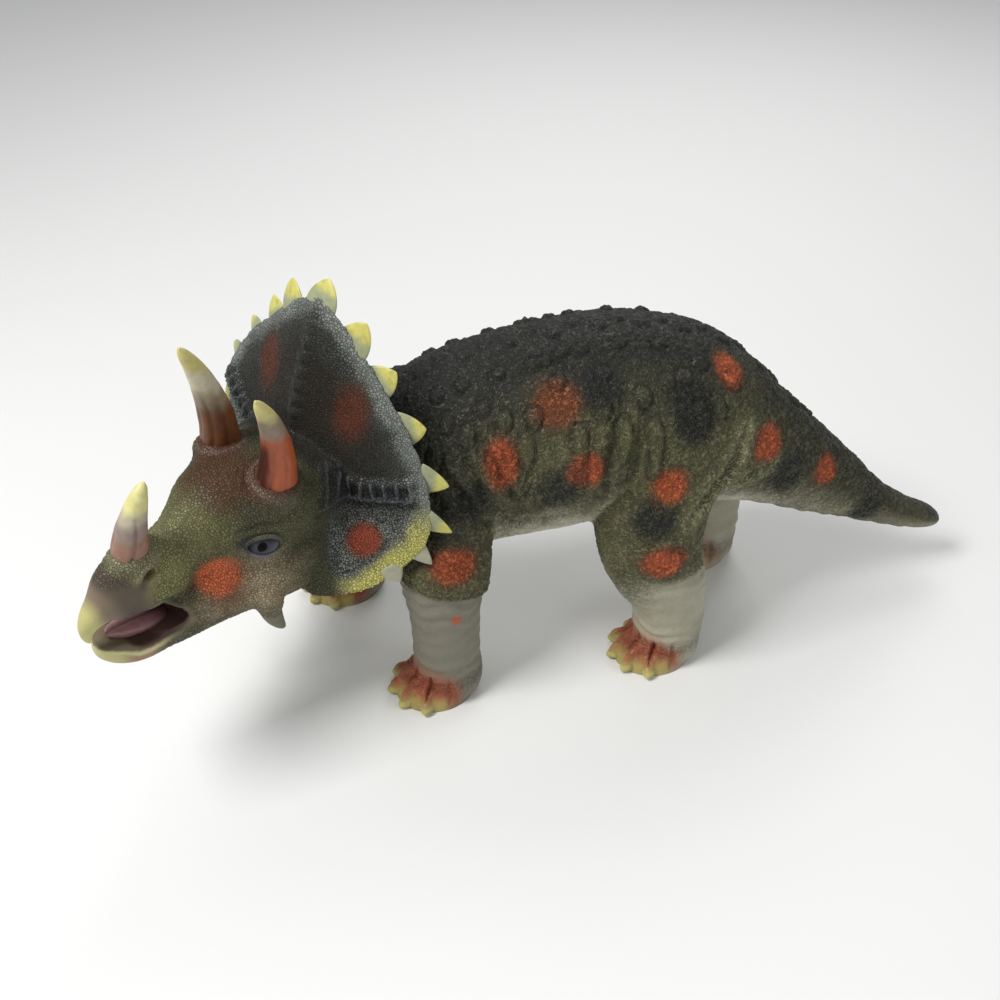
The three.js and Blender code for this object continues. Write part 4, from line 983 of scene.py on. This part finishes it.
def head_skin():
    skull = head_rows(skull_row_shares, NECK_PLACE, SKULL_LENGTH, SKULL_WIDTH, SKULL_DEPTH)
    jaw = head_rows(jaw_row_shares, JAW_ROOT, JAW_LENGTH, JAW_WIDTH, JAW_DEPTH)
    mouth = head_rows(mouth_row_shares, -MOUTH_ROOT, MOUTH_LENGTH, MOUTH_WIDTH, MOUTH_DEPTH)
    # The corner of the mouth lies lower than the throat, and its front closes round the hook of the beak
    for row, rise, side, up in (
        (2, -1.5, 2, -1.5), (3, -1.5, 0, -1.5), (4, 0, 0, -3.6), (5, 0, 0, -4.6), (6, 0, 0, -4.0),
        (7, 0, 0, -2.5), (8, 0, 0, 0.5), (9, -0.6, 0, 3.5), (10, -1.2, 0, 2.5), (11, -1.0, 0, -1.0),
    ):
        mouth[row][2] += rise
        mouth[row][3] += side
        mouth[row][4] += up
    # The skin of the lower jaw ends behind the hook of the beak
    for row in jaw + mouth:
        row[0] += 4.5 * max(-row[0] - 104, 0) / 35
    for row in jaw:
        row[5] += 2.4 * math.exp(-((row[0] + 116) / 18) ** 2)
    side_axis = (0, -1, 0)
    shapes = [loft(skull, 56, 120, side_axis), loft(jaw, 48, 100, side_axis), frill_plate()]
    # Lumps on each side, with their turn outward: the brow, the lip over the mouth, the cheek behind its corner
    side_lumps = (
        ((34, 32, 26), brow_place + np.array([-1, -2, -6]), 0),
        ((62, 14, 14), (-103, 10.5, -27.5), 8), ((34, 12, 13), (-113, 8.6, -31.5), 12),
        ((22, 8, 12), (-126, 4.6, -33), 16),
        ((34, 17, 34), (-87, 13.5, -47), 0), ((44, 30, 32), (-68, 17, -46), 0),
    )
    for side_sign in (-1, 1):
        root = cheek_horn_place * mirror(side_sign)
        cheek_horn = horn_rows(cheek_horn_row_shares, root, *CHEEK_HORN, side_sign, -1)
        shapes.append(loft(cheek_horn, 24, 30, side_axis))
        for size, place, turn in side_lumps:
            shapes.append(lump(size, np.array(place) * mirror(side_sign), spin(side_sign * turn, "Z")))
    # The hooked tip of the beak, and the swelling under the nose horn
    shapes.append(lump((10, 12, 17), (-137.4, 0, -40.5)))
    shapes.append(lump((34, 24, 20), (-105, 0, -5)))
    mesh = fused("head_skin", shapes, HEAD_NET, carve=[loft(mouth, 40, 60, side_axis)])
    points, edges = points_of(mesh), edges_of(mesh)
    lips = np.exp(-(((points[:, 0] + 116) / 36) ** 4)) * (points[:, 2] < -26)
    points = relaxed(points, edges, 20, 0.5 - 0.4 * lips)
    put_points(mesh, points)
    normal = normals_of(mesh)
    x, y, z = points.T
    mirrored = np.column_stack([x, np.abs(y), z])

    # How far out each place is from the middle of the mouth's hollow: 1 on its walls
    hollow = np.array(mouth)[::-1]
    middle, wide, up, down = (np.interp(x, hollow[:, 0], hollow[:, k]) for k in (2, 3, 4, 5))
    from_mouth = np.hypot(y / wide, (z - middle) / np.where(z > middle, up, down))
    mouth_here = (x < -MOUTH_ROOT + 2) & (x > -MOUTH_ROOT - MOUTH_LENGTH)
    in_mouth = relaxed(((from_mouth < 1.09) & mouth_here).astype(float), edges, 8)
    in_mouth = eased(0.3, 0.7, in_mouth)

    relief = np.zeros(len(points))
    front_face = eased(-0.2, 0.3, -normal[:, 0])
    # Low knobs up the middle of the frill
    up_ridge = bell(y, 4.2) * eased(18, 34, z) * fading(90, 101, z)
    knob = np.abs(np.sin(z / 2.9)) ** 0.6
    relief += front_face * up_ridge * (1.2 + 2.2 * knob)
    # A ribbed ledge out along each side of the frill: dark cells between thin ridges, over a scalloped edge
    ledge_path = [(-4, 32, 4), (12, 38, -2), (21, 49, -1), (27, 63, 4), (34, 78, 9)]
    gap, along = line_gap(mirrored, ledge_path)
    path_z = np.interp(mirrored[:, 1], [p[1] for p in ledge_path], [p[2] for p in ledge_path])
    fall = z - path_z
    cell = np.abs(np.sin(along * math.pi * 8.5))
    bar = fading(0.16, 0.5, cell)
    ledge_here = eased(0.02, 0.1, along) * fading(0.93, 1, along) * (gap < 18) * front_face
    scallop = -5.5 - 1.4 * cell ** 0.6
    shelf = eased(scallop - 0.9, scallop + 0.5, fall) * fading(4, 10, fall)
    edge_bar = bell(fall - scallop - 0.9, 1.1)
    relief += ledge_here * (5.2 * shelf - 3.4 * shelf * (1 - bar) * (1 - edge_bar) * fading(1, 6, fall))
    relief -= ledge_here * 1.6 * bell(fall - scallop + 3.4, 2.4)
    # Rolls of skin round the roots of the horns
    root_rings = np.zeros(len(points))
    for place, radius in ((brow_place, 13.0), (nose_place, 11.6)):
        root_gap = np.linalg.norm((mirrored - place - np.array([0, 0, 2.0])) * np.array([1, 1, 0.7]), axis=1)
        roll = bell(root_gap - radius - 1.5, 1.5)
        relief += 0.55 * roll - 0.5 * bell(root_gap - radius - 4.2, 1.2)
        root_rings = np.maximum(root_rings, roll)
    # Nostril, a short slanting slot under a fold
    nostril_gap, _ = line_gap(mirrored, [(-110.5, 12.0, -14), (-104.5, 13.5, -8.5)])
    relief += -3.6 * bell(nostril_gap, 1.7) + 1.5 * bell(nostril_gap - 4.0, 1.5) * (z > -13)
    folds = np.zeros(len(points))
    for path, depth, width in (
        ([(-84, 19, -54), (-72, 28, -58), (-58, 36, -62)], 1.8, 2.6),
        ([(-88, 16, -40), (-78, 22, -46), (-74, 27, -54)], 1.3, 2.2),
        ([(-62, 30, -27), (-50, 35, -32), (-37, 38, -33)], 0.9, 1.8),
        ([(-56, 26, -2), (-44, 32, 0), (-32, 36, -4)], 0.9, 1.8),
        ([(-112, 10, -24), (-100, 16, -30), (-88, 20, -40)], 0.7, 1.6),
    ):
        fold_gap, fold_along = line_gap(mirrored, path)
        dip = bell(fold_gap, width) * np.sin(np.pi * np.clip(fold_along, 0.03, 0.97)) ** 0.5
        relief -= depth * dip
        folds = np.maximum(folds, dip)
    # A raised edge to the lips
    lip = bell(from_mouth - 1.16, 0.07) * mouth_here * (x < -92)
    relief += 0.9 * lip
    beak = eased(104, 116, -x + 0.28 * (z + 30)) * (1 - np.exp(-(z / 12.0) ** 4))
    cheek_tip = fading(-71, -66, z) * (x > -70) * (x < -26) * (np.abs(y) > 24)
    smooth_lip = np.maximum(bell(from_mouth - 1.12, 0.16) * mouth_here, eased(100, 114, -x) * (z < -50))
    grain = np.clip(1 - beak * 1.2, 0, 1) * (1 - in_mouth) * (1 - cheek_tip) * (1 - smooth_lip)
    hide = eased(0, 0.45, pebbles(points + 1.4 * np.column_stack([humps(points, 5, k) for k in (1, 2, 3)]), 2.6, 17))
    relief += grain * (0.5 * hide - 0.3)
    relief += 0.9 * humps(points, 15, 19) * (1 - beak) * (1 - in_mouth)
    points = points + normal * relief[:, None]
    # The front of the beak falls straight to its hook
    points[:, 0] += 3.2 * bell(z + 20, 12) * eased(118, 138, -x)

    # The sockets: the skin lies behind each eyeball and comes up to the edge of its lids
    for flip in (-1, 1):
        back, rise, reach = seen_from_eye(points, flip)
        share, edge = lid_share(back, rise)
        near = (reach > -6) & (share < 2.1)
        behind = eyeball_reach(back, rise) - 1.5
        beside = edge + 0.5 - 1.5 * eased(1.15, 1.5, share) * fading(1.5, 1.85, share)
        wanted = np.where(share < 0.97, behind, beside)
        blend = near * fading(1.15, 2.0, share)
        points += eye_axes(flip)[1] * (blend * (wanted - reach))[:, None]
    put_points(mesh, points)

    wobble = cloud(points, 12, 61) + 0.5 * cloud(points, 4.5, 62)
    spray = 1.3 * cloud(points, 2.2, 63)
    paint = Paint(len(points), "#4A492E")
    u = -x
    # Snout and brow. The top of the snout is painted lighter, as a painted highlight
    paint.lay("#8E8D60", 0.8 * eased(52, 78, u - 3 * wobble) * eased(-34, -16, z))
    for colour, strength, place, radius, waver, soft, stretch in (
        ("#706E40", 0.7, (-74, 24, -8), 22, 3, 0.6, (1, 1, 1)),
        ("#6A6844", 0.6, (-26, 34, -8), 17, 3, 0.5, (1, 1, 1)),
        ("#58300E", 0.78, (-46, 6, 18), 17, 3, 0.6, (1.2, 1, 1)),
        # A painted highlight on the upper side of the snout
        ("#97955E", 0.8, (-97, 14, -18), 15, 2, 0.6, (1, 1, 1)),
        ("#B8A684", 0.85, (-56, 35, -44), 22, 3, 0.6, (1.4, 1, 1)),
        ("#80532F", 0.6, (-64, 32, -46), 12, 3, 0.6, (1, 1, 1)),
    ):
        paint.lay(colour, strength * spot_mask(mirrored, place, radius + waver * wobble, soft, stretch))
    jaw_low = eased(50, 62, -z + 4 * wobble) * eased(20, 60, u)
    paint.lay("#74715A", 0.6 * jaw_low)
    # Frill
    plate = eased(-3, 8, x - 0.25 * np.abs(y) + 8 + 0.12 * np.clip(-z, 0, 60) * 2)
    plate = np.maximum(plate, eased(40, 52, np.abs(y) + 0.25 * z + 3 * wobble))
    paint.lay("#15130C", 0.96 * plate)
    # A faint brown glow beside the ridge, and the ridge itself
    centre_glow = bell(np.abs(y) - 24, 24) * bell(z - 50, 36)
    paint.lay("#2A1D0E", 0.7 * plate * centre_glow)
    paint.lay("#2C2F28", 0.7 * plate * up_ridge)
    # Share of the way from the middle of the plate to its rim
    rim_spots = rim_at(np.linspace(0, 1, 200))
    rim_turn = np.arctan2(rim_spots[:, 1], rim_spots[:, 2])
    rim_reach = np.hypot(rim_spots[:, 1], rim_spots[:, 2])
    own_turn = np.arctan2(np.abs(y), z - FRILL_CENTRE)
    own_reach = np.hypot(y, z - FRILL_CENTRE)
    rim_share = own_reach / np.interp(own_turn, np.maximum.accumulate(rim_turn), rim_reach)
    to_rim = eased(0.62, 0.99, rim_share + 0.05 * wobble) * plate
    low_flap = fading(-34, -6, z - 0.12 * np.abs(y) + 4 * wobble)
    yellow_rim = eased(0.83, 0.92, rim_share + 0.03 * wobble) * low_flap * plate
    paint.lay("#34362F", 0.8 * eased(0.62, 0.8, rim_share + 0.05 * wobble) * plate)
    paint.lay("#898F88", 0.92 * eased(0.8, 0.99, rim_share + 0.05 * wobble) * plate)
    behind_eye = spot_mask(mirrored, (-14, 44, -26), 24 + 3 * wobble, 0.6, (1, 1, 1.2)) * plate
    paint.lay("#3E4244", 0.7 * behind_eye)
    paint.lay("#D0CB6C", 0.97 * yellow_rim)
    back_face = eased(0.1, 0.6, normal[:, 0]) * eased(0.4, 0.6, rim_share) * plate
    paint.lay("#4A4B40", 0.9 * back_face)
    paint.lay("#565D60", 0.85 * ledge_here * shelf * np.maximum(bar, edge_bar) ** 0.5)
    paint.lay("#08080A", 0.97 * ledge_here * shelf * (1 - bar) * (1 - edge_bar) * fading(4, 9, fall))
    # Painted shadow cast by the scalloped edge on the skin under it
    paint.lay("#1A1B1C", 0.7 * ledge_here * bell(fall - scallop + 3.4, 2.6))
    orange = (
        ((22, 33, 45), 12.5, (1, 0.75, 1.35), 0.8, "#662C0A"), ((15, 57, -33), 10, (1, 1, 1), 0.95, "#A84C2E"),
        ((-66, 20, -31), 14, (1, 1.2, 1), 1.0, "#E87748"),
    )
    for place, radius, stretch, strength, colour in orange:
        soft = 0.55 if place[2] > 0 else 0.32
        paint.lay("#5A3018", 0.5 * spot_mask(mirrored, place, radius * 1.25 + spray, 0.4, stretch) * strength)
        paint.lay(colour, 0.95 * spot_mask(mirrored, place, radius * 0.9 + spray, soft, stretch) * strength)
    # Beak and lips
    grey = eased(100, 112, u + 0.25 * (z + 20) + 1.5 * wobble) * (z < 2)
    grey *= eased(-12, -4, -z - 14 + 0.7 * (u - 118))
    paint.lay("#4E4036", 0.9 * grey)
    paint.lay("#7A6A58", 0.9 * eased(118, 130, u - 0.45 * (z + 30) + wobble) * eased(100, 110, u))
    tip = eased(130, 140, u - 0.38 * (z + 30) + wobble) * (z > -52)
    paint.lay("#B5B074", tip)
    under_jaw = (z < middle) * eased(92, 124, u + wobble) * mouth_here
    paint.lay("#95785A", 0.75 * under_jaw)
    paint.lay("#B9B47C", 0.95 * under_jaw * eased(118, 130, u))
    paint.lay("#A5503C", 0.75 * spot_mask(mirrored, (-114, 8, -72), 10 + spray, 0.5, (1.2, 1, 0.8)))
    paint.lay("#C6C18C", 0.95 * eased(94, 112, u) * bell(from_mouth - 1.17, 0.1) * (z < middle) * mouth_here)
    paint.lay("#4A3A30", 0.6 * bell(from_mouth - 1.14, 0.07) * (z > middle) * mouth_here)
    # Inside of the mouth
    paint.lay("#5A423A", 0.97 * in_mouth)
    paint.lay("#6A624A", 0.7 * in_mouth * eased(106, 124, u) * (z < middle))
    # Round the eyes and horns, and painted shade in the folds
    paint.lay("#62362A", 0.8 * spot_mask(mirrored, brow_place + np.array([-3, -2, 2]), 15, 0.3))
    paint.lay("#8A7A66", 0.4 * spot_mask(mirrored, nose_place + np.array([0, 0, -4]), 14, 0.3))
    # A painted highlight on the rolls of skin round the roots of the horns
    paint.lay("#8C8772", 0.3 * root_rings)
    for flip in (-1, 1):
        back, rise, reach = seen_from_eye(points, flip)
        share, _ = lid_share(back, rise)
        around = fading(1.1, 1.9, share) * (reach > -8)
        # Painted shade over the skin above each eye, under the brow
        paint.lay("#26251F", 0.35 * around * eased(-3, 5, rise))
        paint.lay("#85816C", 0.5 * around * fading(-4, 2, rise))
        front_corner = spot_mask(np.column_stack([back, rise, reach * 0.3]), (-12.0, 3.0, 2.0), 4.5, 0.6, (1.2, 1, 1))
        paint.lay("#2A2A2C", 0.85 * front_corner)
    # Painted shade in the folds
    paint.lay("#1C1B18", 0.6 * folds)
    paint.lay("#66644C", 0.95 * cheek_tip)
    # Painted shade inside the nostril
    paint.lay("#161616", 0.9 * bell(nostril_gap, 1.9))
    paint.lay("#1E1D18", 0.15 * grain * (1 - hide))
    brush = Paint(len(points), "#85866C")
    brush.lay("#B0A285", eased(0.3, 0.8, spot_mask(mirrored, (-50, 36, -50), 26, 0.5)))
    brush.lay("#8E9896", eased(0.45, 0.75, rim_share) * plate)
    brush.lay("#A9AFA8", eased(0.75, 0.95, rim_share) * plate)
    brush.lay("#A9AEA4", fading(-30, 0, z) * eased(0.4, 0.6, rim_share) * plate)
    brush.lay("#D6D07A", yellow_rim)
    for place, radius, stretch, strength, colour in orange:
        brush.lay(colour, spot_mask(mirrored, place, radius * 1.1, 0.3, stretch))
    paint.keep(mesh, "paint")
    brush.keep(mesh, "brush_paint")
    flap = plate * fading(-30, 20, z) * eased(0.35, 0.7, rim_share)
    cheek = spot_mask(mirrored, (-50, 34, -50), 26, 0.6)
    speckle = 0.02 + 0.55 * to_rim ** 3.5 * fading(0.84, 0.97, rim_share) + 0.5 * flap * (1 - 0.6 * yellow_rim)
    keep_value(mesh, "brushed", np.clip(speckle + 0.15 * cheek, 0, 1) * (1 - beak) * (1 - in_mouth))
    keep_value(mesh, "grain", np.clip(grain, 0.08, 1))
    skin = piece("head_skin", mesh, "head", head_finish, ("head_shell", "head_stuffing", "mouth_liner"))


def tapered_horn(name, row_shares, place, length, girth, side_sign, grooves, bands):
    """A horn with creases that run up from its root and soft bands of paint"""
    rows = np.array(horn_rows(row_shares, place, length, girth, side_sign))
    mesh = joined(name, [loft(rows, 72, 90, (0, -1, 0))])
    points, normal = points_of(mesh), normals_of(mesh)
    rise = (points[:, 2] - place[2]) / length
    order = np.argsort(rows[:, 2])
    axis = np.column_stack([np.interp(points[:, 2], rows[order, 2], rows[order, k]) for k in (0, 1)])
    turn = np.arctan2(points[:, 1] - axis[:, 1], points[:, 0] - axis[:, 0])
    relief = np.zeros(len(points))
    for angle, depth, reach in grooves:
        off = np.angle(np.exp(1j * (turn - math.radians(angle) - 0.25 * np.sin(rise * 5))))
        relief -= depth * bell(off, 0.13) * fading(reach * 0.6, reach, rise)
    relief += 0.25 * cloud(points * np.array([1, 1, 0.35]), 3.0, 71) * fading(0.6, 0.9, rise)
    points += normal * relief[:, None]
    put_points(mesh, points)
    wobble = 0.04 * cloud(points, 7, 72)
    paint = Paint(len(points), bands[0][1])
    for start, colour in bands[1:]:
        paint.lay(colour, eased(start - 0.07, start + 0.07, rise + wobble))
    front = eased(0.2, 0.75, -np.cos(turn) * 0.8 - side_sign * np.sin(turn) * 0.6)
    if "brow" in name:
        paint.lay("#34150C", (0.94 if "left" in name else 0.45) * front * fading(0.42, 0.62, rise))
    # Painted shade in the grooves of the horn
    paint.lay("#3E3026", 0.25 * np.clip(-relief / 0.8, 0, 1) * fading(0.7, 0.9, rise))
    paint.keep(mesh, "paint")
    piece(name + "_skin", mesh, "head", horn_finish, (name,))


def horns():
    near_bands = [(0, "#A4502C"), (0.6, "#857664"), (0.8, "#C4BA78")]
    far_bands = [(0, "#7C4C28"), (0.4, "#9A8C72"), (0.56, "#C4BCA2"), (0.76, "#C6BC78")]
    brow_grooves = [(205, 0.8, 0.62), (160, 0.7, 0.5), (250, 0.6, 0.45), (115, 0.6, 0.55), (20, 0.5, 0.5)]
    for name, side_sign, bands in (("left_brow_horn", -1, near_bands), ("right_brow_horn", 1, far_bands)):
        place = brow_place * mirror(side_sign)
        tapered_horn(name, brow_horn_row_shares, place, *BROW_HORN, side_sign, brow_grooves, bands)
    nose_bands = [(0.05, "#8E6A58"), (0.3, "#8C7A70"), (0.5, "#AAA18C"), (0.66, "#CFC98B")]
    nose_grooves = [(235, 1.1, 0.7), (150, 0.6, 0.5), (60, 0.5, 0.5)]
    tapered_horn("nose_horn", nose_horn_row_shares, nose_place, *NOSE_HORN, 1, nose_grooves, nose_bands)


def eyes():
    for name, flip in (("left_eye", -1), ("right_eye", 1)):
        rear, out, upward = eye_axes(flip)
        centre = eye_place * mirror(flip)
        turned = Matrix((rear, out, upward)).transposed().to_4x4()
        shape = bmesh.new()
        bmesh.ops.create_icosphere(shape, subdivisions=6, radius=1)
        bmesh.ops.scale(shape, vec=Vector((EYE_LENGTH / 2, EYE_HEIGHT / 2, EYE_HEIGHT / 2)), verts=shape.verts)
        bmesh.ops.transform(shape, matrix=Matrix.Translation(Vector(centre)) @ turned, verts=shape.verts)
        bmesh.ops.recalc_face_normals(shape, faces=shape.faces)
        mesh = joined(name + "_ball", [shape])
        back, rise, _ = seen_from_eye(points_of(mesh), flip)
        off = np.hypot(back + 2.4, rise - 2.2)
        paint = Paint(len(back), "#43434B")
        paint.lay("#575860", eased(0, 7, back) * fading(3, 6, rise))
        paint.lay("#1A181C", 0.95 * fading(-9.5, -5.5, back + 0.3 * rise))
        # Painted shadow of the upper lid across the top of the eyeball
        paint.lay("#2A292F", 0.7 * eased(3.2, 6.5, rise))
        paint.lay("#08090A", fading(2.5, 3.3, off))
        paint.keep(mesh, "paint")
        piece(name + "_ball", mesh, "head", eye_finish, (name,))
        # The lids, a thin roll of skin in the shape of an almond round the eyeball
        ring = bmesh.new()
        bmesh.ops.create_grid(ring, x_segments=120, y_segments=20, size=1)
        for vert in ring.verts:
            a = (vert.co.x + 1) * math.pi
            b = (vert.co.y + 1) * math.pi
            flat_back, flat_rise = lid_line(a)
            reach = float(eyeball_reach(flat_back, flat_rise)) + 0.25
            middle = centre + rear * flat_back + upward * flat_rise + out * reach
            away_from_eye = rear * math.cos(a) * 0.6 + upward * math.sin(a)
            away_from_eye /= np.linalg.norm(away_from_eye)
            slim = 0.5 + 0.5 * abs(math.sin(a)) ** 0.6
            girth = (1.7 if math.sin(a) > 0 else 1.2) * slim
            vert.co = middle + away_from_eye * girth * (0.75 + math.cos(b)) + out * 1.15 * slim * math.sin(b)
        bmesh.ops.remove_doubles(ring, verts=ring.verts, dist=0.001)
        bmesh.ops.recalc_face_normals(ring, faces=ring.faces)
        mesh = joined(name + "_lids", [ring])
        back, rise, _ = seen_from_eye(points_of(mesh), flip)
        share, _ = lid_share(back, rise)
        paint = Paint(len(back), "#4C4B3A")
        # Painted shadow along the inner edge of the upper lid
        paint.lay("#1F1E1E", 0.85 * fading(1.0, 1.2, share) * eased(-2, 1, rise))
        paint.lay("#6E6A74", 0.75 * fading(-3, 1, rise))
        paint.lay("#1F1D20", 0.8 * fading(-10, -6, back))
        paint.keep(mesh, "paint")
        Paint(len(back), "#85866C").keep(mesh, "brush_paint")
        keep_value(mesh, "brushed", np.full(len(back), 0.1))
        keep_value(mesh, "grain", np.full(len(back), 0.4))
        piece(name + "_lids", mesh, "head", head_finish)


def tongue():
    # Place from the root, height in the head, and half sizes to the side, up and down
    rows = [[-88 - a, 0, h, s, u, d] for a, h, s, u, d in (
        (0, -59.0, 4, 2, 3), (4, -58.5, 7, 3.0, 5), (12, -57.4, 8.2, 3.2, 6), (20, -55.6, 8.0, 3.2, 7),
        (28, -53.4, 6.8, 2.8, 7), (34, -51.6, 5.0, 2.2, 5), (38, -50.6, 2.8, 1.2, 3), (39.6, -50.3, 0.6, 0.4, 0.6),
    )]
    mesh = joined("tongue_skin", [loft(rows, 56, 90, (0, -1, 0))])
    points, normal = points_of(mesh), normals_of(mesh)
    relief = -1.2 * bell(points[:, 1], 1.6) * (normal[:, 2] > 0) + 0.3 * humps(points, 3, 81)
    put_points(mesh, points + normal * relief[:, None])
    paint = Paint(len(points), "#8C6664")
    # A painted highlight on the top of the tongue
    paint.lay("#A07676", 0.6 * eased(0.4, 1, normal[:, 2]))
    # Painted shade on its root, deep in the mouth
    paint.lay("#3E2424", 0.8 * fading(90, 104, -points[:, 0]))
    # Painted shade in the groove down its middle
    paint.lay("#3A2222", 0.7 * bell(points[:, 1], 1.2) * (normal[:, 2] > 0))
    paint.keep(mesh, "paint")
    piece("tongue_skin", mesh, "head", mouth_finish, ("tongue",))


# ---------------------------------------------------------------- the joint inside the neck

def neck_joint():
    finish = moulded_plastic("moulded_polypropylene")
    for name in ("neck_disc", "neck_washer", "neck_lock_ring"):
        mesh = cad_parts[name].data.copy()
        own = bmesh.new()
        own.from_mesh(mesh)
        bmesh.ops.remove_doubles(own, verts=own.verts, dist=1e-6)
        own.to_mesh(mesh)
        own.free()
        mesh.materials.clear()
        shown(name + "_moulding", mesh, "head", finish, (name,))


body_skin()
claws()
head_skin()
frill_scallops()
horns()
eyes()
tongue()
neck_joint()


# ---------------------------------------------------------------- floor, light and camera

# The photograph's camera looks 38 degrees down, a little turned to the head. Places are in metres.
CAMERA_PLACE, CAMERA_TURN, CAMERA_DOWN, CAMERA_ROLL, LENS = (-0.1602, -0.5983, 0.598), -11.3, 38, -0.9, 43.2
AIM_OF_LAMPS = Vector((0, 0, 0.1))
# Lamps: name, place, width and power
lamp_table = (
    ("key_lamp", (-0.85, -0.3, 1.35), 0.55, 21),
    ("fill_lamp", (0.8, -1.1, 0.8), 1.2, 4.5),
    ("rear_lamp", (0.5, 1.0, 1.2), 0.9, 8),
)


def placed(name, data, place, turn):
    """A lamp or camera at a place, turned"""
    thing = bpy.data.objects.new(name, data)
    thing.location = place
    thing.rotation_euler = turn.to_euler()
    bpy.context.collection.objects.link(thing)
    return thing


def studio():
    """A pale floor that turns white towards the back, soft light from above and the side"""
    floor_shape = bmesh.new()
    bmesh.ops.create_grid(floor_shape, x_segments=2, y_segments=2, size=4)
    floor_mesh = bpy.data.meshes.new("floor")
    floor_shape.to_mesh(floor_mesh)
    floor_shape.free()
    floor_mesh.materials.append(matt_floor("pale_matt_floor"))
    floor = bpy.data.objects.new("floor", floor_mesh)
    bpy.context.collection.objects.link(floor)

    # The camera sees a white wall, and the figure a dimmer sky
    scene = bpy.context.scene
    scene.world = bpy.data.worlds.new("studio")
    scene.world.use_nodes = True
    tree = scene.world.node_tree
    tree.nodes.clear()
    seen = add(tree, "ShaderNodeLightPath").outputs["Is Camera Ray"]
    soft = add(tree, "ShaderNodeBackground", links={"Color": rgba("#F4F6F8"), "Strength": 0.42})
    white = add(tree, "ShaderNodeBackground", links={"Color": rgba("#E9E9E7"), "Strength": 1.0})
    mixed = add(tree, "ShaderNodeMixShader", links={0: seen, 1: soft.outputs[0], 2: white.outputs[0]})
    add(tree, "ShaderNodeOutputWorld", links={"Surface": mixed.outputs[0]})

    for name, place, width, power in lamp_table:
        data = bpy.data.lights.new(name, "AREA")
        data.size = width
        data.energy = power
        placed(name, data, place, (AIM_OF_LAMPS - Vector(place)).to_track_quat("-Z", "Y"))

    data = bpy.data.cameras.new("camera")
    data.lens = LENS
    data.sensor_width = 36
    turn = spin(CAMERA_TURN, "Z", 3) @ spin(90 - CAMERA_DOWN, "X", 3) @ spin(CAMERA_ROLL, "Z", 3)
    camera = placed("camera", data, CAMERA_PLACE, turn)
    scene.camera = camera
    scene.view_settings.view_transform = "Standard"


studio()
